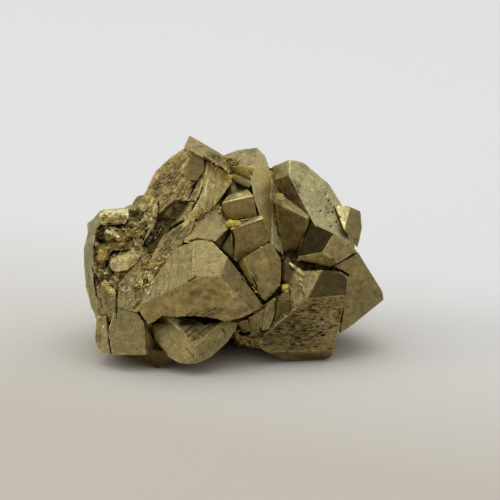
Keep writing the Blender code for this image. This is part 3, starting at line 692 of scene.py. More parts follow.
front_block = grow("front_block", [
    crystal("front_block", -12, [(194, 241, 2), (205, 239.5), (213, 241.5), (221, 249), (227, 259),
        (220.5, 276.5, 9.4), (194, 278.5, 9.8), (147, 301, 8.4), (160, 269), (176, 248), (139, 309),
        (150, 325), (222, 322), (240, 318), (251, 310), (265, 304), (232, 262)],
        [("gfabcde", "smooth", 0.72, 0.35, 80), ("gahij", "streaked", 0.76, 0.45, 84),
         ("gfhklmno", "smooth", 0.95, 0.75, 20), ("feopq", "smooth", 0.71, 0.45, 130)]),
], marks=[
    crack([(189, 280.5), (193, 279), (197, 276)], 0.78, 0.3, 0.8),
    crack([(230, 291), (234, 296), (238, 298)], 0.55, -0.04, 0.0, 0.5),
    crack([(233, 293), (234, 299)], 0.39, -0.04, 0.0, 0.5),
    crack([(150, 325), (155, 322), (160, 319)], 0.50, 0.3, 0.9),
    crack([(222, 322), (240, 319), (252, 313), (262, 309), (266, 305)], 0.86, 0.4),
    crack([(190, 241), (198, 238.5), (213, 241), (221, 247), (232, 260)], 0.62, 0.3),
    crack([(240, 270), (247, 281), (256, 289), (262, 298), (266, 302)], 0.70, 0.3),
    # Bright raised line along the bevel edge: painted highlight
    crack([(157, 267), (155, 275), (153, 284), (149, 293)], 1.01, -0.1, 0.0, 1.2),
    crack([(186, 316), (192, 311), (199, 308)], 0.35, 0.06, 0.5),
    crack([(193, 316), (201, 311), (209, 308)], 0.39, 0.08, 0.6),
    crack([(201, 316), (209, 311), (217, 307)], 0.39, 0.08, 0.6),
    crack([(209, 317), (216, 313), (221, 311)], 0.39, 0.08, 0.6),
    crack([(216, 318), (224, 314), (233, 311)], 0.35, 0.06, 0.5),
    # Broken-out parts under the big block: their walls are painted dark as painted shade, the left
    # one lightly
    cut([(150, 327), (158, 319.3), (163, 315.5), (176, 317), (178, 345), (150, 340)], 1.0, 8.0,
        0.2),
    cut([(174, 317), (190, 315.5), (206, 316.5), (217, 318.5), (223, 320.5), (224, 335), (190, 345),
        (174, 340)], 0.0),
    stain((198, 292), (9, 5), soil=0.50, tone_and_light=-0.16, turn=22),
    stain((212, 291), (8, 4), soil=0.52, tone_and_light=-0.18, turn=-18),
    stain((207, 297), (5, 3), soil=0.35, tone_and_light=-0.10, turn=30),
    stain((188, 300), (9, 4), soil=0.35, tone_and_light=-0.10, turn=25),
    stain((220, 286), (7, 4), soil=0.30, turn=-15),
    stain((168, 311), (12, 5), soil=0.12, etch=0.10, turn=20),
    stain((192, 298), (7, 3), soil=0.30, turn=25),
    stain((210, 312), (22, 5), soil=0.35, etch=0.35, turn=8),
    stain((241, 311), (14, 4), soil=0.35, etch=0.2, turn=20),
    stain((180, 306), (22, 9), tone_and_light=0.10, turn=25),
    stain((236, 295), (9, 7), tone_and_light=0.10, soil=0.1, etch=0.15),
    stain((202, 262), (10, 8), tone_and_light=-0.06),
    crack([(188, 319), (197, 318), (206, 318.5)], 0.6, 0.4, 0.8),
])
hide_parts("pyrite_cluster")

# ---------------------------------------------------------------------------
# Nose under the big block. The real piece is a blunt three-sided crystal: a tan left face, a dark
# upper face with slanting streaks, and a right face. It reaches the table and carries the front.
# ---------------------------------------------------------------------------
grow("nose", [
    crystal("nose", -8, [(195, 345, 8.5), (176, 321, 4.5), (222, 323, 3), (151, 327, 1), (162, 316),
        (153, 333), (158, 342), (170, 357), (180, 362), (190, 363), (213, 355, 6.5), (234, 332),
        (240, 321), (228, 341), (200, 361.5), (184, 318), (200, 318)],
        [("abdefghij", "smooth", 0.80, 0.60, 60), ("abcpq", "ridged", 0.78, 0.60, 45),
         ("acklmno", "smooth", 0.78, 0.50, 70)]),
], marks=[
    crack([(223, 328), (226, 333), (225, 338)], 0.55, 0.3),
    crack([(186, 347), (192, 353), (195, 357)], 0.39, 0.1, 0.6),
    crack([(163, 316.5), (172, 320.5), (180, 329)], 1.10, -0.1, 0.0, 0.9),
    crack([(163, 316.5), (175, 318), (182, 321)], 1.10, -0.1, 0.0, 0.7),
    stain((172, 340), (9, 14), tone_and_light=0.08), stain((160, 331), (8, 6), tone_and_light=-0.08, soil=0.1),
    stain((214, 343), (10, 6), soil=0.15, etch=0.2), stain((200, 330), (12, 7), etch=0.35, turn=45),
    crack([(180, 326), (186, 321), (191, 318)], 0.45, 0.15, 0.5),
    crack([(184, 332), (192, 325), (199, 319)], 0.45, 0.15, 0.5),
    crack([(188, 336), (197, 328), (205, 321)], 0.45, 0.15, 0.5),
    crack([(192, 340), (201, 331), (211, 323)], 0.45, 0.15, 0.5),
    # Painted shadow under the big block's overhang: a dark soiled band, and a gap painted dark
    stain((196, 323), (16, 4), soil=0.5, dark=0.3),
    opening([(192, 316), (223, 317), (218, 323.5), (211, 322), (206, 325), (199, 321)], 3.0, 2.5,
        0.95),
])

# ---------------------------------------------------------------------------
# Left block: foot, strip and under facet. The real piece is one smooth-footed crystal that leans
# out at the left, cracked down its left side and cut off dark below. The foot is bare metal.
# ---------------------------------------------------------------------------
grow("left_foot", [
    crystal("under_facet", -14, [(118, 353, 1), (146, 349, 4), (158, 368, 1.5), (172, 360),
        (165, 350), (132, 358.5)],
        [("abcdef", "smooth", 0.34, 0.60, 20)]),
    crystal("left_foot", -14, [(117, 303, 1.5), (133, 307, 2.5), (113, 354, 4.5), (146, 350),
        (145, 325), (140, 315), (109, 330), (160, 350, 0)],
        [("abcdefg", "smooth", 0.86, 0.55, 85), ("edh", "smooth", 1.20, 0.50, 80)]),
    crystal("left_strip", -12, [(97, 316, -1), (108, 315, 1.5), (113, 354, 2), (106, 354),
        (100, 351), (95.5, 340)],
        [("abcdef", "streaked", 1.12, 0.60, 85)]),
    crystal("left_mid", -12, [(99, 284, -2.5), (115, 284, 0), (119, 318, 2.5), (108, 322),
        (97, 312)],
        [("abcde", "ridged", 0.58, 0.50, 100)]),
], marks=[
    crack([(107, 314), (108.5, 328), (110, 342), (112, 354)], 0.62, 0.4),
    crack([(117, 286), (117.5, 300), (117, 318)], 0.62, 0.5),
    crack([(135, 308), (140, 313), (146, 320)], 0.55, 0.3),
    crack([(101, 300), (103, 312), (104, 326)], 0.62, 0.2, 0.0, 0.5),
    stain((98, 338), (4, 14), soil=0.3, etch=0.3), stain((130, 348), (14, 5), soil=0.2),
    stain((122, 335), (5, 14), tone_and_light=-0.06), stain((135, 325), (8, 8), etch=0.12, tone_and_light=0.06),
    stain((109, 288), (8, 4), crust=0.85, turn=-42),
    # A black pit: painted shade
    stain((112, 286), (2.5, 1.5), dark=0.8, sink=0.3, turn=-42),
])

# ---------------------------------------------------------------------------
# Left block: rim, backing and hollow. The real piece is a crystal whose middle never filled: a
# pale bevelled rim and top ledge round a rough hollow that holds grains and iron crust.
# ---------------------------------------------------------------------------
grow("left_block", [
    crystal("left_back", -26, [(101, 209.5, -11), (129, 207.5, -11), (160, 222), (165, 300),
        (146, 351), (106, 353, -2.5), (98, 335), (94, 307), (91.5, 295), (89, 270), (89, 250),
        (92, 232), (97, 219)],
        [("abfcdeghijklm", "grainy", 2.60, 0.50, 60)], taper=-0.25),
    crystal("rim_high", -21, [(101, 210, -7.7), (104, 215, -5.7), (96.5, 232, -6.6), (94, 217),
        (88, 231), (99.5, 222)],
        [("abcdef", "smooth", 0.85, 0.15, 60)]),
    crystal("rim_upper", -21, [(96.5, 231, -6.6), (93.5, 248, -5.6), (83.5, 248, -9.8), (88, 231)],
        [("abcd", "smooth", 0.85, 0.15, 75)]),
    crystal("rim_middle", -21, [(93.5, 246, -5.6), (94, 285, -4.4), (83.5, 262, -9.6), (93, 264),
        (83.5, 247), (85.5, 285)],
        [("abcdef", "smooth", 0.85, 0.15, 90)]),
    crystal("rim_low", -21, [(94, 283, -4.4), (103, 316, -1.6), (85.5, 284, -8), (98.5, 302),
        (91, 307), (97, 318)],
        [("abcdef", "smooth", 0.85, 0.25, 105)]),
    # The ledge's upper face is painted bright as a highlight, and its rough front, which lies in
    # shade, is painted brighter still
    crystal("left_top", -16, [(101, 210, -9), (128, 208, -10), (127, 214.5, -5), (101, 214.5, -5.5),
        (101, 226, -7), (126, 224)],
        [("abcd", "smooth", 2.50, 0.30, 0), ("dcef", "grainy", 6.40, 0.45, 0)]),
    crystal("left_grain", -14, [(118, 285), (136, 264, -2), (155, 263, -1), (162, 272),
        (150, 300, 3), (138, 312), (117, 306), (114, 292)],
        [("bceadfgh", "sandy", 1.12, 0.75, 60)]),
    crystal("hollow_ridge", -14, [(150, 203, -9.2), (161, 212, -8.6), (140, 248, -6.8), (154, 228),
        (134, 246), (133, 236), (142, 216)],
        [("abcdefg", "rough", 2.30, 0.45, 55)]),
    crystal("left_lump", -14, [(110, 264, -4), (118, 255, -4.8), (133, 251.5), (140, 256),
        (137, 263, -1.6), (128, 269.5), (117, 272), (112, 269.5), (112, 258.5)],
        [("abecdfghi", "sandy", 1.22, 0.40, 10)]),
    crystal("nub", -18, [(131, 206, -11), (133, 201, -12), (137, 195.5), (149, 193.5),
        (158, 200, -9), (150, 212)],
        [("abecdf", "ridged", 0.60, 0.30, 20)]),
], marks=[
    stain((102, 254), (7, 9), crust=1.0, only="left_back"),
    stain((114, 245), (5, 4), crust=1.0, only="left_back"),
    stain((126, 246), (5, 3), crust=0.9, only="left_back"),
    stain((128, 232), (8, 5), crust=0.8, only="left_back"),
    stain((114, 219), (14, 4), crust=0.6, only="left_back left_top"),
    stain((109, 288), (8, 4), crust=0.85, turn=-42, only="left_back left_grain"),
    # Black pits in the hollow: painted shade
    stain((98, 270), (2.5, 2), dark=0.7, sink=0.3, only="left_back"),
    stain((106, 266), (4, 2), dark=0.7, sink=0.3, turn=-30, only="left_back"),
    stain((99, 283), (1.5, 4), dark=0.7, sink=0.3, only="left_back"),
    stain((148, 197), (4, 6), crust=0.8), stain((130, 266), (13, 4), crust=0.75),
    stain((150, 262), (14, 3.5), crust=0.5, turn=12), stain((166, 261), (9, 4), crust=0.8, turn=25),
    stain((137, 246), (6, 5), tone_and_light=0.35, only="left_back"),
    stain((132, 217), (4, 9), soil=0.3, turn=35, only="left_back"),
    crack([(131, 238), (139, 222), (147, 208)], 0.9, 0.4),
    crack([(161, 213), (154, 229), (143, 246)], 1.0, 0.5),
    stain((146, 226), (5, 22), etch=0.35, turn=-35, only="hollow_ridge"),
    stain((101, 266), (6, 4), soil=0.4, sink=0.3, only="left_back"),
    # A black hollow: painted shade with soil
    stain((101, 241), (6, 3.5), soil=0.8, dark=0.35, sink=0.3, turn=-25, only="left_back"),
    crack([(97, 238), (101, 241), (104, 245)], 0.9, 0.5),
    crack([(99, 246), (97, 256), (99, 264)], 0.8, 0.4),
    stain((105, 234), (9, 4), soil=0.35, only="left_back"),
    stain((137, 213), (8, 6), soil=0.4, sink=0.3, only="left_back nub"),
    stain((121, 278), (6, 4), soil=0.4, only="left_grain"),
    stain((146, 282), (7, 10), tone_and_light=0.3, etch=0.6, only="left_grain"),
    stain((130, 292), (16, 20), etch=0.35, only="left_grain"),
    crack([(97, 229), (103, 225), (111, 224.5), (117, 224), (124, 229)], 0.94, 0.5),
    crack([(113, 252), (120, 251), (128, 250)], 1.09, 0.5),
    crack([(113, 252), (109, 257), (106, 266), (109, 272)], 1.01, 0.4),
    crack([(128, 240), (135, 239), (142, 237)], 1.01, 0.4),
    crack([(96, 232), (93.5, 247), (93, 262)], 0.60, 0.2, 0.5),
    crack([(92, 268), (94, 280), (96, 292), (99, 304)], 0.80, 0.3, 0.8),
    crack([(88, 262), (89, 280), (92, 296)], 0.50, 0.1, 0.4),
    crack([(119, 222), (125, 226), (129, 231)], 0.70, 0.3),
    crack([(146, 222), (147, 230), (143, 240)], 0.70, 0.3),
    crack([(118, 285), (117.5, 295), (117, 306)], 0.70, 0.4),
    crack([(150, 266), (146, 268), (152, 270)], 1.17, 0.4),
    crack([(135, 308), (141, 301), (150, 295)], 0.62, 0.2, 0.5),
    # Bright raised line along the bevel edge: painted highlight
    crack([(157, 267), (155, 275), (153, 284), (149, 293)], 1.17, -0.1, 0.0, 1.6),
])

# ---------------------------------------------------------------------------
# Upper left: the long slope. The real piece is a broad crystal face, roughened by close growth
# ledges and grains, that runs down from the highest point; its right side is streaked and clean.
# ---------------------------------------------------------------------------
grow("long_slope", [
    crystal("slope", -24, [(184, 147.5, -12), (190, 146), (166.5, 160), (148.5, 185.5, -11),
        (154, 172.5), (138, 208), (150, 216), (168, 209), (190, 221, -2), (233, 181, -11),
        (208, 158, -7.8), (214, 208), (224, 170)],
        [("adibcefgh", "rough", 1.25, 0.85, 50), ("ijklm", "ridged", 2.00, 0.60, 78)]),
    crystal("recess_ridge", -14, [(180, 213, -3), (196, 217, -2.5), (192, 230), (184, 244, 0.5),
        (166, 262), (149, 282), (150, 262), (162, 238), (172, 224)],
        [("abdcefghi", "rough", 0.90, 0.70, 50)]),
], marks=[
    stain((172, 166), (15, 3.5), crust=0.45, turn=50),
    stain((170, 184), (20, 15), etch=0.55, turn=50), stain((190, 193), (22, 9), etch=0.45, turn=55),
    stain((162, 176), (10, 3), soil=0.4, turn=50), stain((176, 184), (3, 5), soil=0.5),
    stain((155, 194), (4, 5), soil=0.8, sink=0.2), stain((156, 206), (14, 8), soil=0.15, tone_and_light=0.1),
    stain((223, 170), (11, 4), crust=0.85, turn=-42),
    stain((228, 176), (6, 3), crust=1.0, turn=-30), stain((197, 215), (13, 6), crust=0.9, turn=15),
    stain((185, 224), (8, 4), crust=0.7, turn=30), stain((213, 166), (10, 3), soil=0.35, turn=-40),
    stain((168, 258), (13, 5), crust=0.6, turn=40), stain((172, 244), (14, 8), etch=0.5, turn=45),
    crack([(205, 165), (204.5, 176), (203, 188)], 0.62, 0.2, 0.5),
    crack([(197, 180), (193, 188), (189, 198)], 0.86, 0.4),
    crack([(203, 188), (200, 196), (192, 209)], 0.86, 0.4),
    crack([(211, 172), (207, 184), (205, 196)], 0.62, -0.1, 0.0, 0.5),
    crack([(186, 201), (190, 201.5), (194, 201)], 0.78, 0.3),
    crack([(164, 174), (168, 172), (172, 168)], 0.70, 0.25),
    crack([(158, 201), (159, 209), (158, 217)], 0.62, 0.3),
    crack([(147, 218), (146, 226), (143, 233)], 0.70, 0.3),
    # The recess: a cut and an opening painted dark as painted shade
    cut([(175, 199.5), (190, 201.5), (187, 209), (181, 217), (172, 226), (150, 226), (158, 214),
        (167, 206)], -7.6, 1.3, 0.42),
    opening([(159, 218), (175, 217), (158, 240), (147, 253), (140, 250), (147, 235)], 3.0, 1.4,
        0.75),
    stain((163, 230), (16, 6), soil=0.45, etch=0.3, turn=48, only="slope recess_ridge"),
    crack([(161, 215), (165, 219), (169, 223)], 0.62, 0.3),
    crack([(186, 220), (170, 229), (160, 237), (150, 246)], 0.86, 0.7),
])

# ---------------------------------------------------------------------------
# Upper left: the smooth block on the slope's ridge and the plate that ends in the highest point.
# The real pieces are two thin crystals grown across the slope, with a black crack under the plate.
# ---------------------------------------------------------------------------
grow("ridge_plate", [
    crystal("ridge_block", -14, [(194, 150, -7.5), (204, 158, -6.5), (196, 181, -5.5), (184, 174),
        (190, 155), (204, 171), (188, 180)],
        [("abcdefg", "smooth", 0.72, 0.75, 60)]),
    crystal("top_plate", -19, [(189, 135, -9.5), (222, 154, -10.5), (231, 172, -8), (222, 166),
        (205, 157, -6), (194, 147), (184, 147.5)],
        [("abecdfg", "smooth", 0.90, 0.40, -35)]),
], marks=[
    stain((222, 163), (12, 6), crust=0.75, soil=0.2, turn=-32),
    stain((214, 156), (10, 4), soil=0.45, etch=0.3, turn=-30),
    stain((224, 166), (9, 4), soil=0.5, turn=-35), stain((196, 148), (8, 3), tone_and_light=0.1, etch=0.2),
    crack([(193, 146), (198, 147), (203, 146)], 0.47, 0.1, 0.5),
    crack([(204, 157), (212, 162), (222, 167.5), (231, 172)], 0.94, 0.5),
])

# ---------------------------------------------------------------------------
# Middle: the pale slab over the big block with its chip, and the column of three blocks beside it.
# The real pieces are small cubes and bars, wedged between the big block and the tall blade.
# ---------------------------------------------------------------------------
grow("middle_column", [
    crystal("slab", -14, [(184, 242, 1.0), (214, 242, 1.0), (192, 221, -4.0), (220, 207),
        (229, 221), (222, 232), (187, 229), (232, 230, -3.4), (222, 247, -1.8), (203, 216)],
        [("abcdefgj", "smooth", 0.69, 0.35, 15), ("bhief", "smooth", 0.45, 0.70, 40)]),
    crystal("chip", -12, [(221, 247, -1.5), (231, 233, -2), (233.5, 245), (233, 258, -0.5),
        (225, 252)],
        [("abdce", "smooth", 0.45, 1.10, 85)]),
    crystal("upper_block", -16, [(222, 203, -3), (253.6, 196, -4.5), (227, 219, -4.5), (260.6, 217),
        (221, 208), (250, 220.5), (228, 195, -7.5), (249, 188.5)],
        [("abcdef", "smooth", 0.82, 0.70, 10), ("abgh", "streaked", 1.60, 0.40, 15)]),
    crystal("middle_block", -16, [(232, 229, -0.5), (260, 219.5, -2.5), (237, 262, -3), (269, 241),
        (255, 254), (247, 261), (232, 258), (231, 228), (238, 220.5, -5.2), (261, 215)],
        [("abcdefg", "smooth", 0.72, 0.95, 15), ("abihj", "streaked", 1.90, 0.50, 15)]),
    crystal("lower_block", -16, [(246, 263, -0.5), (268, 243, -4.5), (265, 301, 0.5), (273, 244),
        (281, 260), (281, 277), (280, 286), (257, 290), (250, 258), (238, 263, -2.4),
        (250, 284, -1.6)],
        [("abcdefghi", "smooth", 0.80, 0.90, 55), ("ahjk", "smooth", 1.90, 0.40, 120)]),
], marks=[
    stain((205, 231), (12, 4), tone_and_light=-0.08, soil=0.1), stain((192, 223), (7, 3), crust=0.8),
    stain((221, 208), (3, 3), crust=0.4, tone_and_light=0.3, only="slab"),
    stain((254, 280), (4, 7), soil=0.5, etch=0.5, turn=-20), stain((263, 262), (9, 9), tone_and_light=0.12),
    stain((272, 293), (5, 4), crust=0.4, soil=0.3), stain((256, 291), (3, 2), crust=1.0),
    crack([(220.5, 200), (221, 209), (228, 220)], 0.86, 0.5),
    crack([(237, 221), (242, 220.5), (247, 219.5)], 0.78, 0.4),
    crack([(231, 229), (234, 238), (233.5, 250), (232, 260)], 0.78, 0.4),
    crack([(222, 246), (227, 238), (231, 231)], 0.70, 0.3),
    crack([(190, 241), (198, 238.5), (213, 241), (221, 247), (232, 260)], 0.62, 0.3),
    crack([(240, 270), (247, 281), (256, 289), (262, 298), (266, 302)], 0.70, 0.3),
    crack([(251, 275), (254, 280), (257, 287)], 0.70, 0.3, 0.9),
    crack([(266, 300), (272, 294), (278, 288)], 1.01, 0.5),
    crack([(254, 272), (256, 277)], 0.55, 0.3),
    crack([(260, 264), (266, 262)], 0.47, -0.03, 0.0, 0.4),
    # A small bright spot: painted highlight
    stain((261, 247), (1.2, 1.2), tone_and_light=1.6, only="middle_block"),
])

# ---------------------------------------------------------------------------
# Top middle: the tall narrow blade, its head and the ledge below the head. The real piece is one
# long flat crystal standing on end, clean and pale, with a rust-filled nick in its head.
# ---------------------------------------------------------------------------
grow("blade", [
    # High tones on the blade's right face, the head's lower face and the ledge brighten faces that
    # lie in shade: painted light
    crystal("blade", -22, [(257, 147, -15), (250, 156, -11.5), (270, 243, -6), (248.5, 167),
        (251, 178), (254, 198), (262, 222), (272, 243), (272, 180), (266, 156), (284, 256, -10.4),
        (279, 203)],
        [("bacdefghij", "clean", 1.62, 0.40, 100), ("hikl", "ridged", 6.60, 0.50, 100)]),
    crystal("blade_head", -22, [(257, 147, -15), (250, 156, -11.2), (248.5, 167, -9),
        (236, 166, -12), (240, 157), (222, 154, -15.5), (225, 159), (232, 172, -14), (243, 180),
        (251, 178), (240, 149)],
        [("cdbe", "smooth", 0.98, 0.50, 60), ("bafgke", "streaked", 0.75, 0.05, 15),
         ("cdhij", "smooth", 2.90, 0.60, 20)]),
    crystal("blade_ledge", -20, [(232, 173, -12), (243, 179.5), (253, 181, -9.5), (249, 188, -11),
        (233, 181)],
        [("acdbe", "smooth", 4.80, 0.80, -25)]),
], marks=[
    stain((232, 163), (8, 3), crust=0.8, soil=0.6, sink=0.25, turn=-20),
    # Black painted shade in the nick, beside its rust crust
    stain((233, 162), (5, 2), soil=0.9, dark=0.7, sink=0.4), stain((229, 158), (6, 3), crust=0.5),
    stain((244, 160), (6, 5), tone_and_light=0.08), stain((262, 200), (7, 30), tone_and_light=0.06),
    stain((264, 226), (9, 24), tone_and_light=0.15, turn=-15),
    stain((241, 175), (12, 7), soil=0.25, etch=0.25, turn=-15),
    stain((274, 215), (3, 30), soil=0.45, etch=0.5),
    stain((277, 240), (4, 18), soil=0.45, etch=0.5, turn=-12),
    crack([(270, 172), (271, 186), (270, 198)], 0.55, 0.15, 0.5),
    crack([(277, 218), (278, 226), (279, 234)], 0.62, 0.2, 0.8),
    crack([(228, 164), (236, 163), (240, 160)], 0.62, 0.3),
    crack([(251, 193), (253, 198)], 0.70, 0.3),
    # The gap under the ledge, lightly painted dark: painted shade
    opening([(234, 181), (248, 187), (230, 194), (221, 200), (228, 191)], 3.0, 2.0, 0.3),
])

# ---------------------------------------------------------------------------
# Top right: the large pale crystal and the bright one on its shoulder. The real pieces share a
# greenish, slightly pitted skin; the small facet that faces the light is almost white.
# ---------------------------------------------------------------------------
grow("right_top", [
    crystal("right_top", -30, [(290, 159, -15), (343, 206, -13.5), (312, 220, -6.5), (289, 175),
        (303, 203), (330, 239), (350, 246), (304, 162), (330, 184), (272, 166, -19), (275, 180),
        (276, 186, -15), (310, 216)],
        [("abcdefghi", "smooth", 1.00, 0.00, 120), ("adjk", "smooth", 1.02, 0.10, 20),
         ("dclmk", "ridged", 0.66, 0.60, 80)]),
    # Its facet that faces the light is painted near white by a high tone: painted highlight
    crystal("bright_end", -24, [(335, 206, -12), (350, 209, -10.5), (344, 230, -7), (342, 205),
        (340, 222), (361, 211), (362.5, 228, -12.5), (359, 244), (356, 251)],
        [("abcde", "streaked", 1.50, 0.30, 80), ("bcgfhi", "smooth", 0.74, 0.55, 80)]),
], marks=[
    stain((330, 208), (16, 7), soil=0.28, etch=0.2, turn=-58),
    stain((320, 192), (9, 6), soil=0.12, etch=0.15),
    # Black pits: painted shade
    stain((326, 194), (1.2, 2.6), dark=0.8, sink=0.3, turn=25),
    stain((329, 200), (1.6, 1.0), dark=0.7, sink=0.3, turn=-35),
    stain((331, 204), (1.1, 0.9), dark=0.6, sink=0.2),
    stain((321, 211), (2.0, 1.2), dark=0.6, sink=0.3, turn=40),
    stain((329, 213), (1.1, 1.6), dark=0.6, sink=0.2),
    stain((318, 206), (1.2, 0.9), dark=0.5, sink=0.2),
    stain((333, 212), (1.5, 1.2), dark=0.8, sink=0.3),
    stain((337, 222), (1.6, 1.3), dark=0.7, sink=0.3),
    stain((340, 217), (1.3, 1.1), dark=0.7, sink=0.3),
    stain((322, 186), (1.2, 1.0), dark=0.7, sink=0.2),
    stain((331, 226), (1.5, 1.1), dark=0.7, sink=0.25),
    stain((316, 180), (16, 2.5), tone_and_light=0.16, turn=-42),
    stain((304, 172), (12, 4), tone_and_light=0.10, turn=-30),
    stain((292, 192), (13, 15), etch=0.8, soil=0.25),
    crack([(284, 168), (289, 164), (296, 163)], 0.39, 0.05, 0.3),
    crack([(344, 240), (350, 236), (357, 240)], 0.47, 0.1, 0.5),
    crack([(338, 207), (341, 218), (346, 229)], 0.60, -0.05, 0.0, 0.6),
    crack([(342, 206), (345, 216), (347, 225)], 0.45, 0.08, 0.3),
])

# ---------------------------------------------------------------------------
# Middle right: the dark block and the small crystal beside it. The real pieces sit in the lee of
# the pale crystal; low tones paint their faces deep brown, painted shade of that lee, apart from
# the block's paler upper facet.
# ---------------------------------------------------------------------------
grow("right_middle", [
    crystal("dark_block", -20, [(277, 203, -8), (308, 219, -5), (297, 249, -9), (282, 255),
        (295, 214), (286, 209.5), (307, 229), (280, 230), (290, 252), (276, 194, -11), (282, 193.5),
        (295, 203), (309, 215)],
        [("abcdefghi", "smooth", 0.68, 0.75, 60), ("abjklm", "streaked", 0.62, 0.65, -35)]),
    crystal("right_middle", -18, [(330, 239, -4), (322, 252, -3.8), (352, 247, -5), (337, 262),
        (345, 240), (342, 258), (309, 222, -6.7), (297, 260), (320, 254), (300, 243), (316, 259),
        (330, 267, -5.5), (357, 251)],
        [("abcdefm", "smooth", 1.14, 0.70, 30), ("abghijk", "smooth", 0.14, 1.00, 60),
         ("bdlk", "smooth", 0.89, 0.40, 10)]),
], marks=[
    stain((281, 196), (7, 4), crust=0.65, turn=-25), stain((290, 235), (12, 16), soil=0.12),
    stain((300, 217), (8, 6), soil=0.15, tone_and_light=-0.12), stain((279, 205), (3, 6), soil=0.4, etch=0.4),
    crack([(309, 218), (307, 230), (302, 240), (298, 248), (290, 251), (283, 254)], 0.86, 0.4),
    crack([(284, 225), (286, 229), (292, 231)], 0.39, 0.1, 0.5),
    crack([(310, 241), (314, 240), (318, 242)], 0.47, 0.1, 0.5),
])

# ---------------------------------------------------------------------------
# Low right: the leaning end crystal and the pitted crystal. The real pieces stand at the right end
# of the cluster; the pitted one is etched along its streaks and rests on the table.
# ---------------------------------------------------------------------------
grow("right_end", [
    crystal("right_end", -26, [(340, 259, -6), (384, 300, -10), (339, 334, -4.5), (357.5, 251),
        (350, 255.5), (333, 268), (383, 292), (371, 273), (350, 327), (336, 300)],
        [("abcdefghij", "smooth", 0.87, 0.75, -45)]),
    crystal("pitted_crystal", -24, [(307, 298, 1.5), (345.5, 294.5, 0), (285, 351, -1), (339, 334),
        (336, 350.5), (342, 315), (262, 349), (258, 340), (272, 322), (291, 313), (322, 270, -1),
        (347.5, 280), (344, 275), (333, 270), (292, 270, -6), (289, 301), (288, 291), (303, 274),
        (310, 360, -5), (331, 357.5), (283, 360), (275, 355)],
        [("abcdefghij", "pitted", 0.70, 0.70, 5), ("abklmn", "smooth", 0.27, 0.70, 15),
         ("akopqr", "ridged", 0.85, 0.60, -45), ("cestuv", "streaked", 0.72, 0.60, 0)]),
], marks=[
    crack([(346, 285), (345, 294), (342, 315), (339.5, 332)], 0.55, 0.35),
    crack([(333, 268), (341, 261), (349, 257), (357, 252)], 0.86, 0.4),
    crack([(297, 259), (312, 262), (325, 266), (333, 268), (342, 271), (348, 275)], 1.09, 0.5),
    # Bright raised strip: painted highlight
    crack([(290, 264.5), (296, 269), (303, 274.5)], 1.33, -0.1, 0.0, 1.4),
    crack([(293, 275), (299, 281), (304, 288)], 0.70, -0.05, 0.0, 0.7),
    crack([(299, 284), (304, 291), (306, 300)], 0.55, -0.05, 0.0, 0.5),
    stain((328, 322), (14, 26), tone_and_light=0.25), stain((268, 340), (8, 8), soil=0.5),
    stain((310, 356), (24, 4), soil=0.3, tone_and_light=-0.1), stain((288, 327), (36, 27), etch=1.0),
    stain((318, 308), (20, 12), etch=0.6), stain((330, 285), (10, 8), soil=0.2),
    stain((302, 285), (6, 12), etch=0.3, soil=0.15), stain((360, 272), (10, 8), tone_and_light=0.12),
    stain((366, 296), (16, 14), soil=0.10, etch=0.06),
    # The gap under the crystals above, painted dark: painted shade
    opening([(294, 257), (300, 260), (316, 263), (334, 268), (346, 273), (334, 271), (322, 270),
        (303, 271)], 6.0, 3.0),
])

# ---------------------------------------------------------------------------
# Low middle: wedges and shards between the big block and the pitted crystal. The real pieces are
# small crystals that filled the space left there, over a dark greenish mass near the table.
# ---------------------------------------------------------------------------
grow("low_shards", [
    crystal("wedge_upper", -12, [(276, 297, -2), (288, 289, -2), (290, 301, -0.5), (278, 301)],
        [("abcd", "smooth", 0.50, 0.50, 30)]),
    crystal("wedge_lower", -12, [(277, 301, 0.5), (289, 301, 0.5), (291, 313), (288, 319),
        (275, 318.5, 0), (276, 308)],
        [("abecdf", "smooth", 0.42, 0.50, 80)]),
    crystal("shard_large", -12, [(266, 303, 0), (275, 297, -1), (277, 301), (276, 310),
        (270, 329, 1), (262, 330), (256, 320), (252, 314)],
        [("abecdfgh", "streaked", 0.85, 0.75, 70)]),
    crystal("shard_middle", -12, [(248, 317, 1), (257, 314, 2), (260, 330, 0.5), (250, 331)],
        [("abcd", "streaked", 0.71, 0.70, 75)]),
    crystal("shard_small", -12, [(238, 322, 0), (248, 319, 1), (250, 331, -0.5), (242, 332)],
        [("abcd", "smooth", 0.57, 0.45, 60)]),
    crystal("dark_column", -14, [(283, 262, -6), (288, 256, -6), (291, 262), (293, 275),
        (292, 283, -5), (287, 286), (282, 280)],
        [("abecdfg", "ridged", 0.48, 0.60, 85)]),
    crystal("low_matrix", -20, [(232, 330, -4), (262, 330, -3.5), (262, 349, -6), (250, 347.5),
        (236, 341)],
        [("abcde", "rough", 0.78, 0.55, 10)]),
], marks=[
    # Black painted shade in the hollow under the shards
    stain((245, 333), (9, 3), soil=0.9, dark=0.9, sink=0.5),
    stain((252, 341), (12, 5), soil=0.3, crust=0.45),
    crack([(282, 262), (284, 257), (288, 255.5)], 0.70, -0.05, 0.0, 1.0),
    crack([(291, 266), (292.5, 274), (293, 281)], 0.86, 0.4),
    crack([(277, 297), (280, 292), (290, 289.5)], 0.78, 0.4),
    crack([(266, 304), (263, 316), (262, 328)], 0.47, 0.15, 0.6),
    crack([(276, 301), (276, 312), (271, 327)], 0.55, 0.2, 0.8),
    crack([(222, 322), (240, 319), (252, 313), (262, 309), (266, 305)], 0.86, 0.4),
])

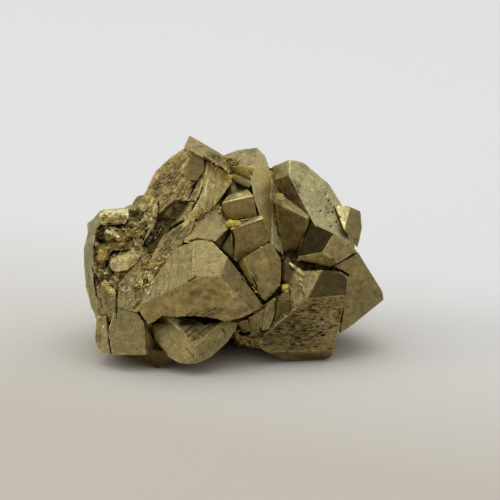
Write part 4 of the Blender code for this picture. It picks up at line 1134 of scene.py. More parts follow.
# ---------------------------------------------------------------------------
# Slivers between the front crystals. The real pieces are thin, soiled crystals that fill the
# spaces between the slope, the slab, the blocks and the blade; each stands behind its neighbours.
# ---------------------------------------------------------------------------
grow("slivers", [
    crystal("sliver_slab", -14, [(190, 215, -4.2), (220, 203, -8.0), (222, 213, -7.6), (193, 225),
        (206, 221)],
        [("abcde", "rough", 0.85, 0.80, 20)]),
    crystal("sliver_block", -14, [(222, 210, -6.5), (261, 214, -7.6), (233, 231, -4.6), (252, 225),
        (226, 226)],
        [("abdce", "rough", 0.45, 0.70, 10)]),
    crystal("sliver_blade", -22, [(269, 168, -17.5), (284, 195, -14), (275, 206, -12), (270, 192),
        (275, 173)],
        [("aebcd", "ridged", 0.60, 0.70, 100)]),
    crystal("sliver_ledge", -22, [(232, 178, -16.0), (252, 185, -14.0), (224, 202, -12.0),
        (250, 196), (240, 202)],
        [("abdec", "smooth", 1.10, 0.80, 60)]),
    crystal("sliver_recess", -14, [(147, 212, -10.2), (170, 205, -7.9), (190, 214, -5.2),
        (182, 224), (165, 240), (148, 254), (142, 240)],
        [("abcdefg", "rough", 0.40, 0.80, 50)]),
], marks=[
    stain((204, 215), (16, 6), crust=0.7), stain((218, 207), (4, 3), crust=0.6),
    stain((158, 228), (20, 9), etch=0.9, turn=50, only="sliver_recess"),
    # Painted shade in the recess
    stain((153, 238), (12, 6), dark=0.6, turn=50, only="sliver_recess"),
    crack([(200, 218), (212, 216), (221, 209)], 0.62, 0.3),
])

# ---------------------------------------------------------------------------
# Core and far side. The real pieces are cubes with cut corners, grown in every direction from the
# middle of the cluster; they are solid pyrite, a little cleaner than the front.
# ---------------------------------------------------------------------------
FAR = 0.50                          # spacing of points on the far side


def turned(name, centre, half_size, turn, reach=1.8, kinds="smooth streaked ridged rough"):
    """A cube or bar |x| <= half size with corners cut by sum |x/half size| <= reach, turned about
    x, y and z, at a place of the layout. Each face gets a look from its own draw."""
    turns = np.radians(turn)
    (cx, cy, cz), (sx, sy, sz) = np.cos(turns), np.sin(turns)
    about_x = np.array(((1, 0, 0), (0, cx, -sx), (0, sx, cx)))
    about_y = np.array(((cy, 0, sy), (0, 1, 0), (-sy, 0, cy)))
    about_z = np.array(((cz, -sz, 0), (sz, cz, 0), (0, 0, 1)))
    pose = about_z @ about_y @ about_x
    half = np.array(half_size, dtype=float)
    flats = []
    for axis in range(3):
        for side in (-1.0, 1.0):
            normal = np.zeros(3)
            normal[axis] = side
            flats.append((normal, half[axis]))
    for corner in np.ndindex(2, 2, 2):
        normal = (np.array(corner) * 2.0 - 1.0) / half
        flats.append((unit(normal), reach / np.linalg.norm(normal)))
    spot = layout(*centre)
    planes = [(pose @ normal, float(offset + (pose @ normal) @ spot)) for normal, offset in flats]
    rng = np.random.default_rng(int(900 + centre[0] * 3 + centre[1]))
    looks, names = [], kinds.split()
    for _ in planes:
        kind = names[rng.integers(0, len(names))]
        looks.append((kind, float(rng.uniform(0.75, 1.08)), float(rng.uniform(0.25, 0.85)),
                      float(turn[2] + 90.0 * rng.integers(0, 2))))
    return name, planes, looks, 0


# The core's low tones are painted shade: what shows of it lies deep in crevices
grow("core", [
    crystal("core", -32, [(120, 235, -11), (205, 178, -17), (265, 165, -19), (328, 190, -19),
        (345, 260, -15), (330, 322, -11), (250, 338, -9.5), (150, 338, -8.5), (110, 290, -9),
        (215, 285, -7), (290, 270, -10.5), (205, 235, -10.5)],
        [("jklbc", "grainy", 0.45, 0.70, 30), ("jkgf", "grainy", 0.45, 0.70, 30),
         ("jlia", "grainy", 0.45, 0.70, 30), ("jgh", "grainy", 0.45, 0.70, 30),
         ("kcde", "grainy", 0.40, 0.70, 30)], taper=-0.35, side=("grainy", 0.8, 0.5, 90)),
], fine=FAR)
grow("far_left", [
    turned("back_left_low", (132, 292, -23), (9, 9, 9), (12, 24, 8)),
    turned("back_left_mid", (140, 250, -26), (9, 9, 9), (-18, 20, 32), 2.2),
    turned("back_left_top", (178, 214, -24), (8, 8, 9), (25, -14, 40)),
    turned("back_top", (214, 192, -24), (8, 8, 8), (15, 32, -12), 2.3),
    turned("small_back_f", (160, 236, -35), (4.5, 4.5, 4), (18, -34, 42), 2.4),
    turned("small_back_h", (120, 268, -31), (3.5, 4.5, 4), (14, 28, 12)),
    turned("small_left_a", (103, 292, -19), (3.5, 4.5, 4), (-20, 16, 28)),
    turned("small_left_b", (104, 252, -23), (4, 4, 4), (24, 38, 6)),
    turned("small_left_c", (99, 239, -16), (2.2, 4.5, 4.5), (8, 10, 12), 2.3),
    turned("small_left_d", (96, 270, -16.5), (2.2, 4.0, 5.0), (-12, 14, 4), 2.2),
    turned("small_top_a", (232, 172, -22), (4, 3.5, 4), (38, 10, 22)),
    turned("small_top_d", (209, 167, -17), (4.5, 3.2, 4.5), (20, -18, -32), 2.4),
    turned("small_top_b", (196, 186, -30), (4, 4, 4), (-12, 30, 34)),
], fine=FAR)
grow("far_middle", [
    turned("back_foot_middle", (232, 296, -31), (11, 9, 8), (20, -25, 14)),
    turned("back_foot_left", (170, 316, -26), (10, 9, 9), (-10, 38, -24)),
    turned("back_middle", (205, 250, -34), (10, 10, 7), (14, 22, 30), 2.3),
    turned("small_back_a", (238, 262, -40), (4.5, 5, 4), (20, 30, 15), 2.1),
    turned("small_back_b", (180, 282, -38), (5, 4.5, 4), (-15, 22, 38), 2.3),
    turned("small_back_c", (226, 222, -36), (4.5, 4.5, 4.5), (32, -20, 10)),
    turned("small_back_g", (256, 318, -37), (4.5, 4, 4.5), (26, 12, -36)),
    turned("small_under_a", (206, 330, -12), (5, 3.5, 5), (10, 24, 18)),
    turned("small_under_b", (250, 330, -17), (5, 3.5, 5), (-14, 12, 30)),
    turned("small_under_c", (156, 338, -8), (3, 4, 5), (8, 14, 12)),
], fine=FAR)
grow("far_right", [
    turned("back_blade", (254, 200, -28), (7, 9, 8), (-22, 12, 16)),
    turned("back_right_top", (296, 214, -28), (8, 8, 8), (30, 18, 38)),
    turned("back_right_mid", (314, 254, -27), (8, 8, 9), (10, -28, 20), 2.2),
    turned("back_right_low", (334, 290, -24), (7, 7, 9), (-15, 35, 30)),
    turned("back_foot_right", (292, 318, -27), (11, 8, 9), (8, 14, -10)),
    turned("back_upper_right", (268, 248, -34), (9, 9, 7), (-24, -16, 12)),
    turned("small_back_d", (286, 288, -38), (5.5, 4.5, 4), (12, 40, -20), 2.5),
    turned("small_back_e", (304, 240, -37), (4, 5, 4), (-28, 14, 24)),
    turned("small_top_c", (278, 186, -27), (4, 4, 4.5), (22, 26, -14)),
    turned("small_right_a", (332, 268, -21), (4, 4, 4), (30, -18, 20)),
    turned("small_right_b", (352, 304, -17), (3.5, 3.5, 4), (16, 34, 40)),
    turned("small_right_c", (328, 226, -28), (4, 4, 4), (-24, 28, 8)),
], fine=FAR)

# ---------------------------------------------------------------------------
# Lumps in the hollow. The real pieces are half-buried crystals of 3 to 5 mm that line the hollow
# of the left block; they are part of its wall.
# ---------------------------------------------------------------------------
grow("hollow_lumps", [
    turned("hollow_a", (102, 253, -7.9), (2.4, 1.4, 1.4), (14, 25, 75), 1.9, "grainy"),
    turned("hollow_b", (113, 234, -8.2), (2.2, 1.3, 1.8), (40, 20, 12), 2.2, "grainy"),
    turned("hollow_c", (122, 240, -8.2), (1.5, 1.4, 1.6), (-30, 25, 44), 2.2, "grainy"),
    turned("hollow_d", (134, 228, -7.6), (2.4, 1.6, 1.8), (20, 15, -24), 2.2, "grainy"),
    turned("hollow_e", (105, 273, -6.8), (2.2, 1.2, 1.5), (12, 20, 30), 2.0, "grainy"),
    turned("hollow_f", (146, 262, -3), (2.0, 1.5, 1.6), (34, -18, 22), 2.2, "grainy"),
    turned("hollow_g", (143, 284, -0.5), (2.2, 1.6, 1.8), (28, 22, 50), 2.2, "grainy"),
    turned("hollow_h", (109, 288, -2.6), (2.2, 0.8, 1.4), (15, -12, -42), 1.9, "grainy"),
], marks=[
    stain((102, 254), (7, 9), crust=1.0), stain((114, 245), (5, 4), crust=1.0),
    stain((110, 288), (7, 6), crust=1.0), stain((137, 229), (8, 5), crust=0.4),
    stain((104, 272), (8, 7), soil=0.5), crack([(128, 240), (135, 239), (142, 237)], 1.01, 0.4),
    stain((146, 282), (7, 10), tone_and_light=0.3),
])

# ---------------------------------------------------------------------------
# Seams. The real crystals are one solid, and where two of them meet the surface dips into a
# narrow groove with dark dirt in it. The groove depth is 0.08 mm * exp(-distance / 0.11 mm).
# Beside the groove, within the broad reach, the colour is darkened by painted shade of the crease.
# ---------------------------------------------------------------------------
GROOVE = 0.08                       # depth of a seam's groove, in mm
# The broad reach is that of the painted shade beside the groove
NARROW, BROAD = 0.11, 0.45          # how far the groove and the brown shade beside it reach
RAISED = 0.25                       # a seam counts only where the neighbour rises above the face
APART = 1.5                         # crystals further apart than this share no seam
ROOM = 0.002                        # room left inside the CAD's own box
low_box, high_box = (np.array(corner) / MM for corner in cad_box)


def above(spots, other):
    """Distance outside a convex crystal: the largest of n.p - offset over its planes."""
    return np.max(spots @ other["normals"].T - other["offsets"], axis=1)


def standing(places):
    """Places of the layout in metres on the table, held just inside the CAD's own box."""
    return np.clip(places @ TO_STAND + SHIFT, low_box + ROOM, high_box - ROOM) * MM


for made, joined in pieces:
    bare, normals = joined["bare"], joined["normals"]
    raised = bare + normals * RAISED
    nearest = np.full(len(bare), 9.0)
    for key in np.unique(joined["home"]):
        own = np.flatnonzero(joined["home"] == key)
        here = crystals[key]
        for other_key, other in enumerate(crystals):
            apart = np.maximum(here["low"] - other["high"], other["low"] - here["high"])
            if other_key == key or apart.max() > APART:
                continue
            nearest[own] = np.minimum(nearest[own], np.maximum(above(raised[own], other), 0.0))
    patchy = np.clip(0.38 + 0.9 * lattice(bare / 4.0, 21), 0.05, 0.75)
    seam = np.exp(-nearest / NARROW) * patchy
    moved = bare + joined["lift"] - normals * (GROOVE * seam)[:, None]
    mesh = made.data
    mesh.vertices.foreach_set("co", standing(moved).ravel())
    ragged = 0.5 + 0.5 * lattice(bare / 0.8, 22)
    dirt_and_shade = np.stack((
        # Dark cracks and seams, with painted shade in pits, gaps and cut walls
        np.clip(np.maximum(joined["dark"], seam * 0.95), 0.0, 1.0),
        joined["crust"],
        # Worn rims, which also carry a painted highlight
        joined["edge"] * (1.0 - seam),
        # The larger of painted shade beside a neighbour and the brown soil of stains
        np.clip(np.maximum(np.exp(-nearest / BROAD) * (0.45 * ragged), joined["soil"]), 0.0, 1.0)),
        axis=1)
    paint(mesh, "dirt_and_shade", "POINT", dirt_and_shade)
    mesh.update()
    mesh.set_sharp_from_angle(angle=math.radians(32.0))

# ---------------------------------------------------------------------------
# Grains. The real pieces are crumbs of pyrite and iron crust, 0.2 to 1 mm across, that stick in
# the hollow of the left block, on the slope and in the corners between the crystals.
# ---------------------------------------------------------------------------
CUBE = np.array(list(np.ndindex(2, 2, 2))) * 2.0 - 1.0
CUBE_FACES = np.array((
    (0, 1, 3), (0, 3, 2), (4, 6, 7), (4, 7, 5), (0, 4, 5), (0, 5, 1),
    (2, 3, 7), (2, 7, 6), (0, 2, 6), (0, 6, 4), (1, 5, 7), (1, 7, 3)))
NOWHERE = -40.0                     # a grain further back than this has nothing to lie on


def front_at(places):
    """Depth of the foremost crystal at each (right, up) place: the nearest plane that faces the
    front, inside all the others; far behind NOWHERE where there is no crystal."""
    front = np.full(len(places), -99.0)
    for solid in crystals:
        normals = solid["normals"]
        room_left = solid["offsets"] - places @ normals[:, :2].T
        towards = np.where(np.abs(normals[:, 2]) < 1e-6, 1e-6, normals[:, 2])
        depth = room_left / towards
        near = np.min(np.where(towards > 1e-5, depth, np.inf), axis=1)
        far = np.max(np.where(towards < -1e-5, depth, -np.inf), axis=1)
        flush = np.all((np.abs(towards) > 1e-5) | (room_left > 0.0), axis=1)
        front = np.where(flush & (near > far), np.maximum(front, near), front)
    return front


def turns_of(spins):
    """Rotation matrices of unit quaternions (w, x, y, z), one for each row."""
    w, x, y, z = unit(spins).T
    rows = ((1 - 2 * (y * y + z * z), 2 * (x * y - z * w), 2 * (x * z + y * w)),
            (2 * (x * y + z * w), 1 - 2 * (x * x + z * z), 2 * (y * z - x * w)),
            (2 * (x * z - y * w), 2 * (y * z + x * w), 1 - 2 * (x * x + y * y)))
    return np.array(rows).transpose(2, 0, 1)


def scatter(piece, spots, corners, tones, warms, crusts, soils):
    """One piece of small six-sided grains: corners (grain, 8, 3) about their spots."""
    count = len(spots)
    places = (spots[:, None, :] + corners).reshape(-1, 3)
    faces = (CUBE_FACES[None] + 8 * np.arange(count)[:, None, None]).reshape(-1, 3)
    mesh = bpy.data.meshes.new(piece)
    mesh.from_pydata(standing(places), [], faces)
    mesh.uv_layers.new(name="streaks").data.foreach_set("uv", places[faces.ravel(), :2].ravel())
    look = np.stack((tones, warms, np.full(count, 0.25), np.full(count, 0.3)), axis=1)
    paint(mesh, "look", "CORNER", np.repeat(look, CUBE_FACES.size, axis=0))
    dirt_and_shade = np.stack((np.zeros(count), crusts, np.full(count, 0.4), soils), axis=1)
    paint(mesh, "dirt_and_shade", "POINT", np.repeat(dirt_and_shade, len(CUBE), axis=0))
    mesh.attributes.new("etch", "FLOAT", "POINT")
    stand(piece, mesh, pyrite_metal)


def grains(piece, seed, patches):
    """Grains over oval patches (middle, size, turn, count, smallest and largest half side in mm,
    tone, warmth, crust, soil). Each stands at sqrt(u) of the oval's reach, turned at random."""
    rng = np.random.default_rng(seed)
    spots, halves, looks = [], [], []
    for middle, size, turn, count, least, most, tone_and_light, warm, crust, soil in patches:
        angle, reach = rng.uniform(0.0, 2.0 * math.pi, count), np.sqrt(rng.uniform(0.0, 1.0, count))
        away = np.stack((np.cos(angle) * size[0], np.sin(angle) * size[1]), axis=1) * reach[:, None]
        lean = math.radians(turn)
        columns = middle[0] + away[:, 0] * math.cos(lean) + away[:, 1] * math.sin(lean)
        rows = middle[1] - away[:, 0] * math.sin(lean) + away[:, 1] * math.cos(lean)
        places = places_of(columns, rows)
        half = least * (most / least) ** rng.uniform(0.0, 1.0, count)
        depth = front_at(places) - 0.1 * half
        spots.append(np.column_stack((places, depth)))
        halves.append(half[:, None] * rng.uniform(0.6, 1.3, (count, 3)))
        draw = rng.uniform(0.6, 1.4, count)
        looks.append(np.stack((tone_and_light * draw, warm + rng.uniform(-0.2, 0.2, count),
                               np.clip(crust * rng.uniform(0.5, 1.5, count), 0.0, 1.0),
                               np.clip(soil * rng.uniform(0.3, 1.7, count), 0.0, 1.0)), axis=1))
    spots, halves, looks = (np.concatenate(part) for part in (spots, halves, looks))
    kept = spots[:, 2] > NOWHERE
    spots, halves, looks = spots[kept], halves[kept], looks[kept]
    shape = CUBE[None] * halves[:, None, :]
    shape = shape * rng.uniform(0.75, 1.15, shape.shape)
    turns = turns_of(rng.normal(0.0, 1.0, (len(spots), 4)))
    scatter(piece, spots, np.einsum("nij,nkj->nki", turns, shape), *looks.T)


grains("left_grains", 61, [
    ((115, 218), (14, 5), 0, 90, 0.12, 0.34, 1.3, 0.9, 0.5, 0.15),
    ((103, 235), (8, 5), 0, 60, 0.12, 0.34, 0.7, 0.7, 0.0, 0.3),
    ((127, 233), (9, 5), 0, 70, 0.12, 0.34, 1.2, 0.9, 0.7, 0.1),
    ((100, 249), (4, 4), 0, 50, 0.10, 0.30, 1.2, 0.9, 0.9, 0.1),
    ((104, 256), (6, 5), 30, 80, 0.10, 0.32, 1.2, 0.9, 0.8, 0.1),
    ((99, 262), (3, 3), 0, 30, 0.10, 0.26, 1.4, 0.7, 0.5, 0.2),
    ((121, 246), (12, 4), 0, 70, 0.12, 0.34, 1.1, 0.9, 0.8, 0.2),
    ((101, 271), (7, 9), 0, 90, 0.10, 0.30, 1.7, 0.4, 0.0, 0.2),
    ((106, 284), (4, 3), -30, 50, 0.10, 0.28, 1.4, 0.7, 0.9, 0.0),
    ((112, 291), (5, 3), -45, 50, 0.10, 0.30, 1.3, 0.8, 0.9, 0.0),
    ((146, 281), (6, 11), -15, 80, 0.10, 0.28, 2.0, 0.3, 0.0, 0.0),
    ((137, 213), (9, 6), 0, 70, 0.10, 0.30, 1.3, 0.5, 0.0, 0.2),
    ((140, 229), (14, 6), 55, 110, 0.09, 0.28, 1.8, 0.5, 0.1, 0.1),
    ((137, 246), (6, 5), 0, 45, 0.12, 0.36, 1.4, 0.1, 0.0, 0.1),
    ((134, 262), (6, 6), 0, 40, 0.12, 0.30, 1.3, 0.7, 0.6, 0.1),
    ((154, 262), (15, 4), 18, 80, 0.12, 0.32, 1.1, 0.7, 0.5, 0.1),
    ((98, 280), (2.5, 20), -6, 60, 0.10, 0.28, 1.4, 0.6, 0.0, 0.3),
    ((129, 290), (13, 16), 0, 110, 0.08, 0.20, 1.0, 0.6, 0.0, 0.1),
    ((156, 232), (15, 5), 50, 150, 0.08, 0.26, 1.4, 0.6, 0.0, 0.3),
    ((124, 236), (9, 5), 0, 70, 0.12, 0.34, 1.4, 0.8, 0.9, 0.0),
    ((109, 287), (7, 2.5), -42, 50, 0.10, 0.30, 2.2, 0.4, 0.4, 0.0),
    ((150, 264), (13, 4), 15, 70, 0.12, 0.36, 1.6, 0.6, 0.8, 0.0)])
grains("top_grains", 62, [
    ((170, 166), (16, 4), 50, 150, 0.08, 0.24, 1.3, 0.9, 0.75, 0.1),
    ((158, 184), (8, 4), 50, 60, 0.10, 0.26, 0.9, 0.9, 0.3, 0.4),
    ((172, 184), (17, 15), 50, 260, 0.08, 0.22, 1.1, 0.8, 0.2, 0.2),
    ((221, 161), (11, 4.5), -34, 130, 0.09, 0.26, 0.9, 1.0, 0.45, 0.25),
    ((226, 173), (8, 3.5), -38, 80, 0.12, 0.34, 1.4, 0.9, 1.0, 0.0),
    ((216, 167), (8, 2.5), -38, 60, 0.08, 0.24, 1.4, 0.9, 0.7, 0.0),
    ((200, 214), (16, 4.5), 22, 170, 0.10, 0.28, 1.3, 0.9, 0.8, 0.1),
    ((232, 161), (6, 3), -20, 60, 0.10, 0.28, 0.8, 1.0, 0.4, 0.35),
    ((148, 197), (3, 5), 0, 60, 0.10, 0.30, 1.4, 0.8, 0.9, 0.0),
    ((279, 196), (6, 3.5), -25, 70, 0.10, 0.28, 1.4, 0.8, 0.8, 0.1),
    ((278, 226), (2.5, 26), 5, 90, 0.08, 0.22, 1.1, 0.8, 0.3, 0.3)])
grains("low_grains", 63, [
    ((250, 341), (13, 4), -8, 140, 0.10, 0.30, 0.9, 0.8, 0.5, 0.3),
    ((297, 262), (8, 3), -35, 60, 0.10, 0.26, 1.0, 0.7, 0.2, 0.3),
    ((285, 288), (4, 4), 0, 40, 0.10, 0.28, 1.5, 0.7, 0.9, 0.0),
    ((243, 277), (6, 2.5), -55, 40, 0.08, 0.22, 1.0, 0.7, 0.4, 0.3)])

# ---------------------------------------------------------------------------
# Flakes. The real pieces are thin bright plates of fresh pyrite, up to 2 mm long, that lie on the
# walls of the hollow and along the broken edge beside the big block. Their tones, two to four
# times the metal's, are partly fresh metal and partly a painted highlight.
# ---------------------------------------------------------------------------
def flakes(piece, seed, rows):
    """Thin plates: each row is column, row, length and width in squares, turn and tilt in degrees,
    and tone. It makes three ragged plates, moved along and across by a share of the size, 0.24 mm
    thick and leaning back by the tilt, so that they mirror the light."""
    rng = np.random.default_rng(seed)
    table_of = np.repeat(np.array(rows, dtype=float), 3, axis=0)
    across = rng.uniform(-0.32, 0.32, (len(table_of), 1)) * table_of[:, 2:3]
    lean = np.radians(table_of[:, 4:5])
    table_of[:, :2] += across * np.hstack((np.cos(lean), -np.sin(lean)))
    table_of[:, 1:2] += rng.uniform(-0.3, 0.3, (len(table_of), 1)) * table_of[:, 3:4]
    table_of[:, 2:4] *= rng.uniform(0.45, 0.95, (len(table_of), 2))
    table_of[:, 4] += rng.uniform(-22.0, 22.0, len(table_of))
    table_of[:, 5] += rng.uniform(-14.0, 14.0, len(table_of))
    table_of[:, 6] *= rng.uniform(0.65, 1.05, len(table_of))
    places = places_of(*table_of[:, :2].T)
    spots = np.column_stack((places, front_at(places) + 0.40))
    half = np.column_stack((table_of[:, 2:4] * 0.5 * SQUARE, np.full(len(places), 0.12)))
    shape = CUBE[None] * half[:, None, :] * rng.uniform(0.7, 1.15, (len(places), 8, 3))
    turn, tilt = np.radians(table_of[:, 4]), np.radians(table_of[:, 5])
    zero, one = np.zeros(len(places)), np.ones(len(places))
    about_z = np.array(((np.cos(turn), -np.sin(turn), zero), (np.sin(turn), np.cos(turn), zero),
                        (zero, zero, one))).transpose(2, 0, 1)
    about_x = np.array(((one, zero, zero), (zero, np.cos(tilt), np.sin(tilt)),
                        (zero, -np.sin(tilt), np.cos(tilt)))).transpose(2, 0, 1)
    corners = np.einsum("nij,nkj->nki", about_x @ about_z, shape)
    scatter(piece, spots, corners, table_of[:, 6], np.full(len(places), 0.2), zero, zero)


flakes("left_flakes", 67, [
    (112.5, 227.5, 9, 3.2, -12, 35, 3.6), (109, 231.5, 8, 3.2, -20, 30, 3.8),
    (117, 236, 9, 3.6, -45, 25, 3.8), (114, 232.5, 7, 3.0, -40, 35, 3.4),
    (121, 226.5, 5, 1.6, -42, 30, 2.2), (118, 229.5, 4, 1.2, -38, 20, 2.4),
    (124, 229, 4, 1.6, -30, 30, 2.0), (125, 237, 3, 1.2, 10, 25, 2.0),
    (106, 273.5, 4, 1.8, 20, 25, 2.8), (104, 283.5, 3, 1.4, 30, 25, 2.8),
    (115, 290, 2, 1.2, 60, 20, 2.8), (131, 299.5, 1.6, 1.4, 20, 25, 2.9),
    (156.5, 268.5, 4, 1.6, 50, 25, 3.0), (155, 276, 4.5, 1.3, 82, 10, 2.9),
    (153, 283, 3.5, 1.6, 68, 15, 2.9), (150.5, 287.5, 2.6, 1.4, 60, 20, 2.8),
    (149.5, 292.5, 1.6, 1.3, 30, 25, 2.8), (147, 284.5, 2.4, 1.8, 30, 25, 2.8),
    (143, 283, 2.0, 1.2, -20, 25, 2.4), (145.5, 276, 2.2, 1.2, 40, 25, 2.3),
    (150, 275, 1.8, 1.2, -50, 20, 2.3), (143, 290, 2.0, 1.2, 10, 25, 2.4),
    (162, 262.5, 5, 1.2, 28, 20, 2.2), (169, 255, 1.8, 1.2, 0, 25, 2.2),
    (299, 270.5, 10, 3.0, -42, 10, 2.6), (292.5, 265.5, 6, 3.0, -50, 15, 2.8),
    (295.5, 268, 7, 3.0, -45, 12, 2.7), (300, 278, 5, 1.6, -50, 10, 2.0),
    (220.5, 208, 1.6, 2.2, 10, 20, 2.2), (261, 247, 1.4, 1.4, 10, 25, 2.4),
    (170, 156, 1.6, 1.2, 20, 25, 2.2), (237, 293, 2.4, 0.8, -50, 15, 2.0),
    (233, 296, 1.6, 0.8, 20, 15, 1.8)])

# ---------------------------------------------------------------------------
# Yellow lumps. The real pieces are soft, matt iron ochre, 0.5 to 3 mm across, caught in corners
# between the crystals; the largest sits under the upper block of the middle column.
# ---------------------------------------------------------------------------
def ochre_finish():
    """Matt yellow ochre, darker and browner in its hollows."""
    finish = bpy.data.materials.new("yellow_ochre")
    finish.use_nodes = True
    tree = finish.node_tree
    place = add(tree, "ShaderNodeTexCoord").outputs["Object"]
    clouds = noise(tree, place, 900.0, 4.0, 0.6)
    grit = noise(tree, place, 3000.0, 3.0, 0.7)
    colour = blended(tree, ramp(tree, clouds, 0.40, 0.62), (0.62, 0.41, 0.065, 1.0),
                     (0.92, 0.73, 0.15, 1.0))
    colour = blended(tree, ramp(tree, grit, 0.30, 0.48, 0.5, 0.0), colour, (0.36, 0.22, 0.06, 1.0))
    bump = add(tree, "ShaderNodeBump", {"Strength": 0.6, "Distance": 0.0001, "Height": grit})
    surface = tree.nodes["Principled BSDF"]
    tree.links.new(colour, surface.inputs["Base Color"])
    tree.links.new(bump.outputs[0], surface.inputs["Normal"])
    surface.inputs["Roughness"].default_value = 0.75
    surface.inputs["Specular IOR Level"].default_value = 0.25
    return finish


yellow_ochre = ochre_finish()


def lumps(piece, rows):
    """Lumpy balls r(theta, phi) = 1 + 0.28 noise, each stretched to its three half sizes in mm.
    A row is column, row, depth into the corner, and the half sizes."""
    rings, spokes = 13, 24
    theta = np.linspace(0.0, math.pi, rings + 2)[1:-1]
    phi = np.linspace(0.0, 2.0 * math.pi, spokes, endpoint=False)
    ring = np.stack(np.broadcast_arrays(np.sin(theta)[:, None] * np.cos(phi),
                                        np.sin(theta)[:, None] * np.sin(phi),
                                        np.cos(theta)[:, None]), axis=-1).reshape(-1, 3)
    ball = np.concatenate((ring, [(0.0, 0.0, 1.0), (0.0, 0.0, -1.0)]))
    here = np.arange((rings - 1) * spokes)
    beside = here // spokes * spokes + (here + 1) % spokes
    rim, ahead = np.arange(spokes), (np.arange(spokes) + 1) % spokes
    last, top = (rings - 1) * spokes, np.full(spokes, rings * spokes)
    faces = np.concatenate([np.stack(corners, axis=1) for corners in (
        (here, here + spokes, beside + spokes), (here, beside + spokes, beside),
        (top, rim, ahead), (top + 1, last + ahead, last + rim))])
    points, corners = [], []
    for number, (across, down, sink, wide, high, thick) in enumerate(rows):
        place = layout(across, down)[None, :2]
        reach = 1.0 + 0.28 * lattice(ball * 1.7 + 5.0 * number, 71) + 0.12 * lattice(
            ball * 4.3 + 5.0 * number, 72)
        body = ball * reach[:, None] * (wide, high, thick)
        body += np.append(place[0], front_at(place)[0] - sink)
        points.append(standing(body))
        corners.append(faces + number * len(ball))
    mesh = bpy.data.meshes.new(piece)
    mesh.from_pydata(np.concatenate(points), [], np.concatenate(corners))
    mesh.shade_smooth()
    stand(piece, mesh, yellow_ochre)


lumps("ochre_lumps", [
    (231.5, 223.5, -2.6, 1.15, 0.95, 1.0), (236, 223.0, -2.4, 0.95, 0.75, 0.8),
    (285, 287.5, -1.2, 0.90, 0.80, 0.7), (227.5, 176.5, -1.0, 1.25, 0.70, 0.7),
    (222, 171, 0.2, 0.6, 0.35, 0.4), (256, 291.5, 0.1, 0.5, 0.28, 0.3),
    (148, 198.5, -0.1, 0.55, 0.75, 0.4), (111, 289, 0.2, 0.45, 0.35, 0.3),
    (105, 283, -0.1, 0.5, 0.3, 0.4), (101.5, 252, -0.15, 0.75, 0.60, 0.6),
    (114, 245, 0.2, 0.6, 0.5, 0.4), (129, 234, 0.2, 0.7, 0.5, 0.4),
    (97.5, 247, -0.15, 0.50, 0.45, 0.5), (104.5, 257, -0.15, 0.60, 0.45, 0.5),
    (99, 258, -0.15, 0.45, 0.40, 0.5), (107, 248, -0.15, 0.50, 0.38, 0.5),
    (120, 245, -0.1, 0.45, 0.32, 0.4), (106.5, 285, -0.1, 0.38, 0.32, 0.4),
    (220, 211.5, -0.6, 0.40, 0.35, 0.3), (280, 195, 0.3, 0.9, 0.45, 0.4)])

# ---------------------------------------------------------------------------
# Table, light and camera. A pale table sweeps up behind the cluster; one broad soft light hangs
# over it and slightly behind, with a weaker one on the left.
# ---------------------------------------------------------------------------


def sweep():
    """Floor and backdrop: a profile, flat to y = 2.4 m and then turning up, carried along x."""
    turn = np.linspace(0.0, math.pi / 2.0, 24)
    depth = np.concatenate(([-3.0, -0.3, 0.2], 2.4 + 0.6 * np.sin(turn), [3.0]))
    height = np.concatenate(([0.0, 0.0, 0.0], 0.6 - 0.6 * np.cos(turn), [2.5]))
    side = np.array((-3.0, -0.7, 0.7, 3.0))
    grid = np.stack(np.broadcast_arrays(side[None, :], depth[:, None], height[:, None]), axis=-1)
    rows, columns = grid.shape[:2]
    corner = (np.arange(rows - 1)[:, None] * columns + np.arange(columns - 1)).ravel()
    quads = np.stack((corner, corner + 1, corner + columns + 1, corner + columns), axis=1)
    mesh = bpy.data.meshes.new("table")
    mesh.from_pydata(grid.reshape(-1, 3), [], quads)
    mesh.shade_smooth()
    return bpy.data.objects.new("table", mesh)


table = sweep()
bpy.context.scene.collection.objects.link(table)
paper = bpy.data.materials.new("table_paper")
paper.use_nodes = True
sheet = paper.node_tree
spot = add(sheet, "ShaderNodeTexCoord").outputs["Object"]
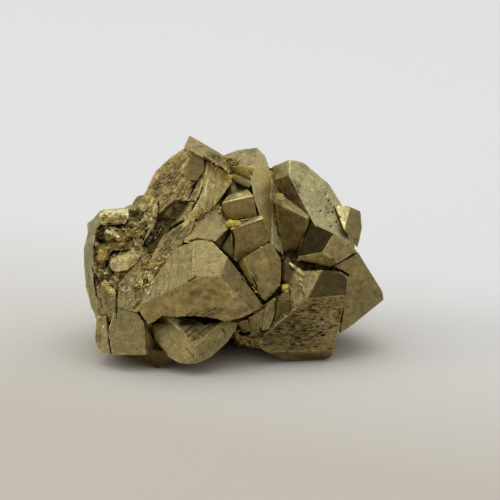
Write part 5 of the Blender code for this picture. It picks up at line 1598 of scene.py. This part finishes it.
# The paper's colour darkens towards the camera and the left and lightens behind and to the right:
# painted light falloff over the paper's pale colour
away_from_eye = add(sheet, "ShaderNodeVectorMath", {0: spot, 1: (0.55, 1.0, 0.0)},
                    operation="DOT_PRODUCT").outputs["Value"]
paper_with_painted_falloff = blended(sheet, ramp(sheet, away_from_eye, -0.09, 0.10), (0.64, 0.585, 0.49, 1.0),
               (0.87, 0.865, 0.85, 1.0))
sheet.links.new(paper_with_painted_falloff, sheet.nodes["Principled BSDF"].inputs["Base Color"])
sheet.nodes["Principled BSDF"].inputs["Roughness"].default_value = 0.85
table.data.materials.append(paper)


def lamp(name, place, aim, size, power):
    """A square soft light at a place, turned to face its aim."""
    light = bpy.data.lights.new(name, "AREA")
    light.size = size
    light.energy = power
    made = bpy.data.objects.new(name, light)
    made.location = place
    x, y, z = np.array(place) - np.array(aim)
    made.rotation_euler = (math.atan2(math.hypot(x, y), z), 0.0, math.atan2(y, x) + math.pi / 2.0)
    bpy.context.scene.collection.objects.link(made)


lamp("top_light", (0.06, 0.32, 0.88), (0.0, 0.0, 0.02), 0.90, 2.2)
lamp("left_light", (-0.8, 0.0, 0.45), (0.0, 0.0, 0.02), 0.45, 1.0)

# The room is a soft box: bright above and behind, dimmer on the camera's side
room = bpy.data.worlds.new("room")
room.use_nodes = True
sky = room.node_tree
facing = add(sky, "ShaderNodeTexCoord").outputs["Generated"]
upward = add(sky, "ShaderNodeVectorMath", {0: facing, 1: (-0.15, 0.50, 0.85)},
             operation="DOT_PRODUCT").outputs["Value"]
glow = ramp(sky, upward, -0.55, 0.95, 0.24, 0.84)
sky.links.new(glow, sky.nodes["Background"].inputs["Strength"])
sky.nodes["Background"].inputs["Color"].default_value = (0.97, 0.98, 1.0, 1.0)
bpy.context.scene.world = room
bpy.context.scene.view_settings.view_transform = "Standard"

AWAY = 1.5                          # distance of the camera from the front of the cluster
VIEW_WIDTH = 0.125                  # width that the camera sees at that distance
eye = bpy.data.cameras.new("camera")
eye.lens = eye.sensor_width * AWAY / VIEW_WIDTH
camera = bpy.data.objects.new("camera", eye)
middle = (layout(250, 250, -8.0) @ TO_STAND + SHIFT) * MM
camera.location = middle + AWAY * np.array((0.0, -math.cos(LEAN), math.sin(LEAN)))
camera.rotation_euler = (math.pi / 2.0 - LEAN, 0.0, 0.0)
bpy.context.scene.collection.objects.link(camera)
bpy.context.scene.camera = camera
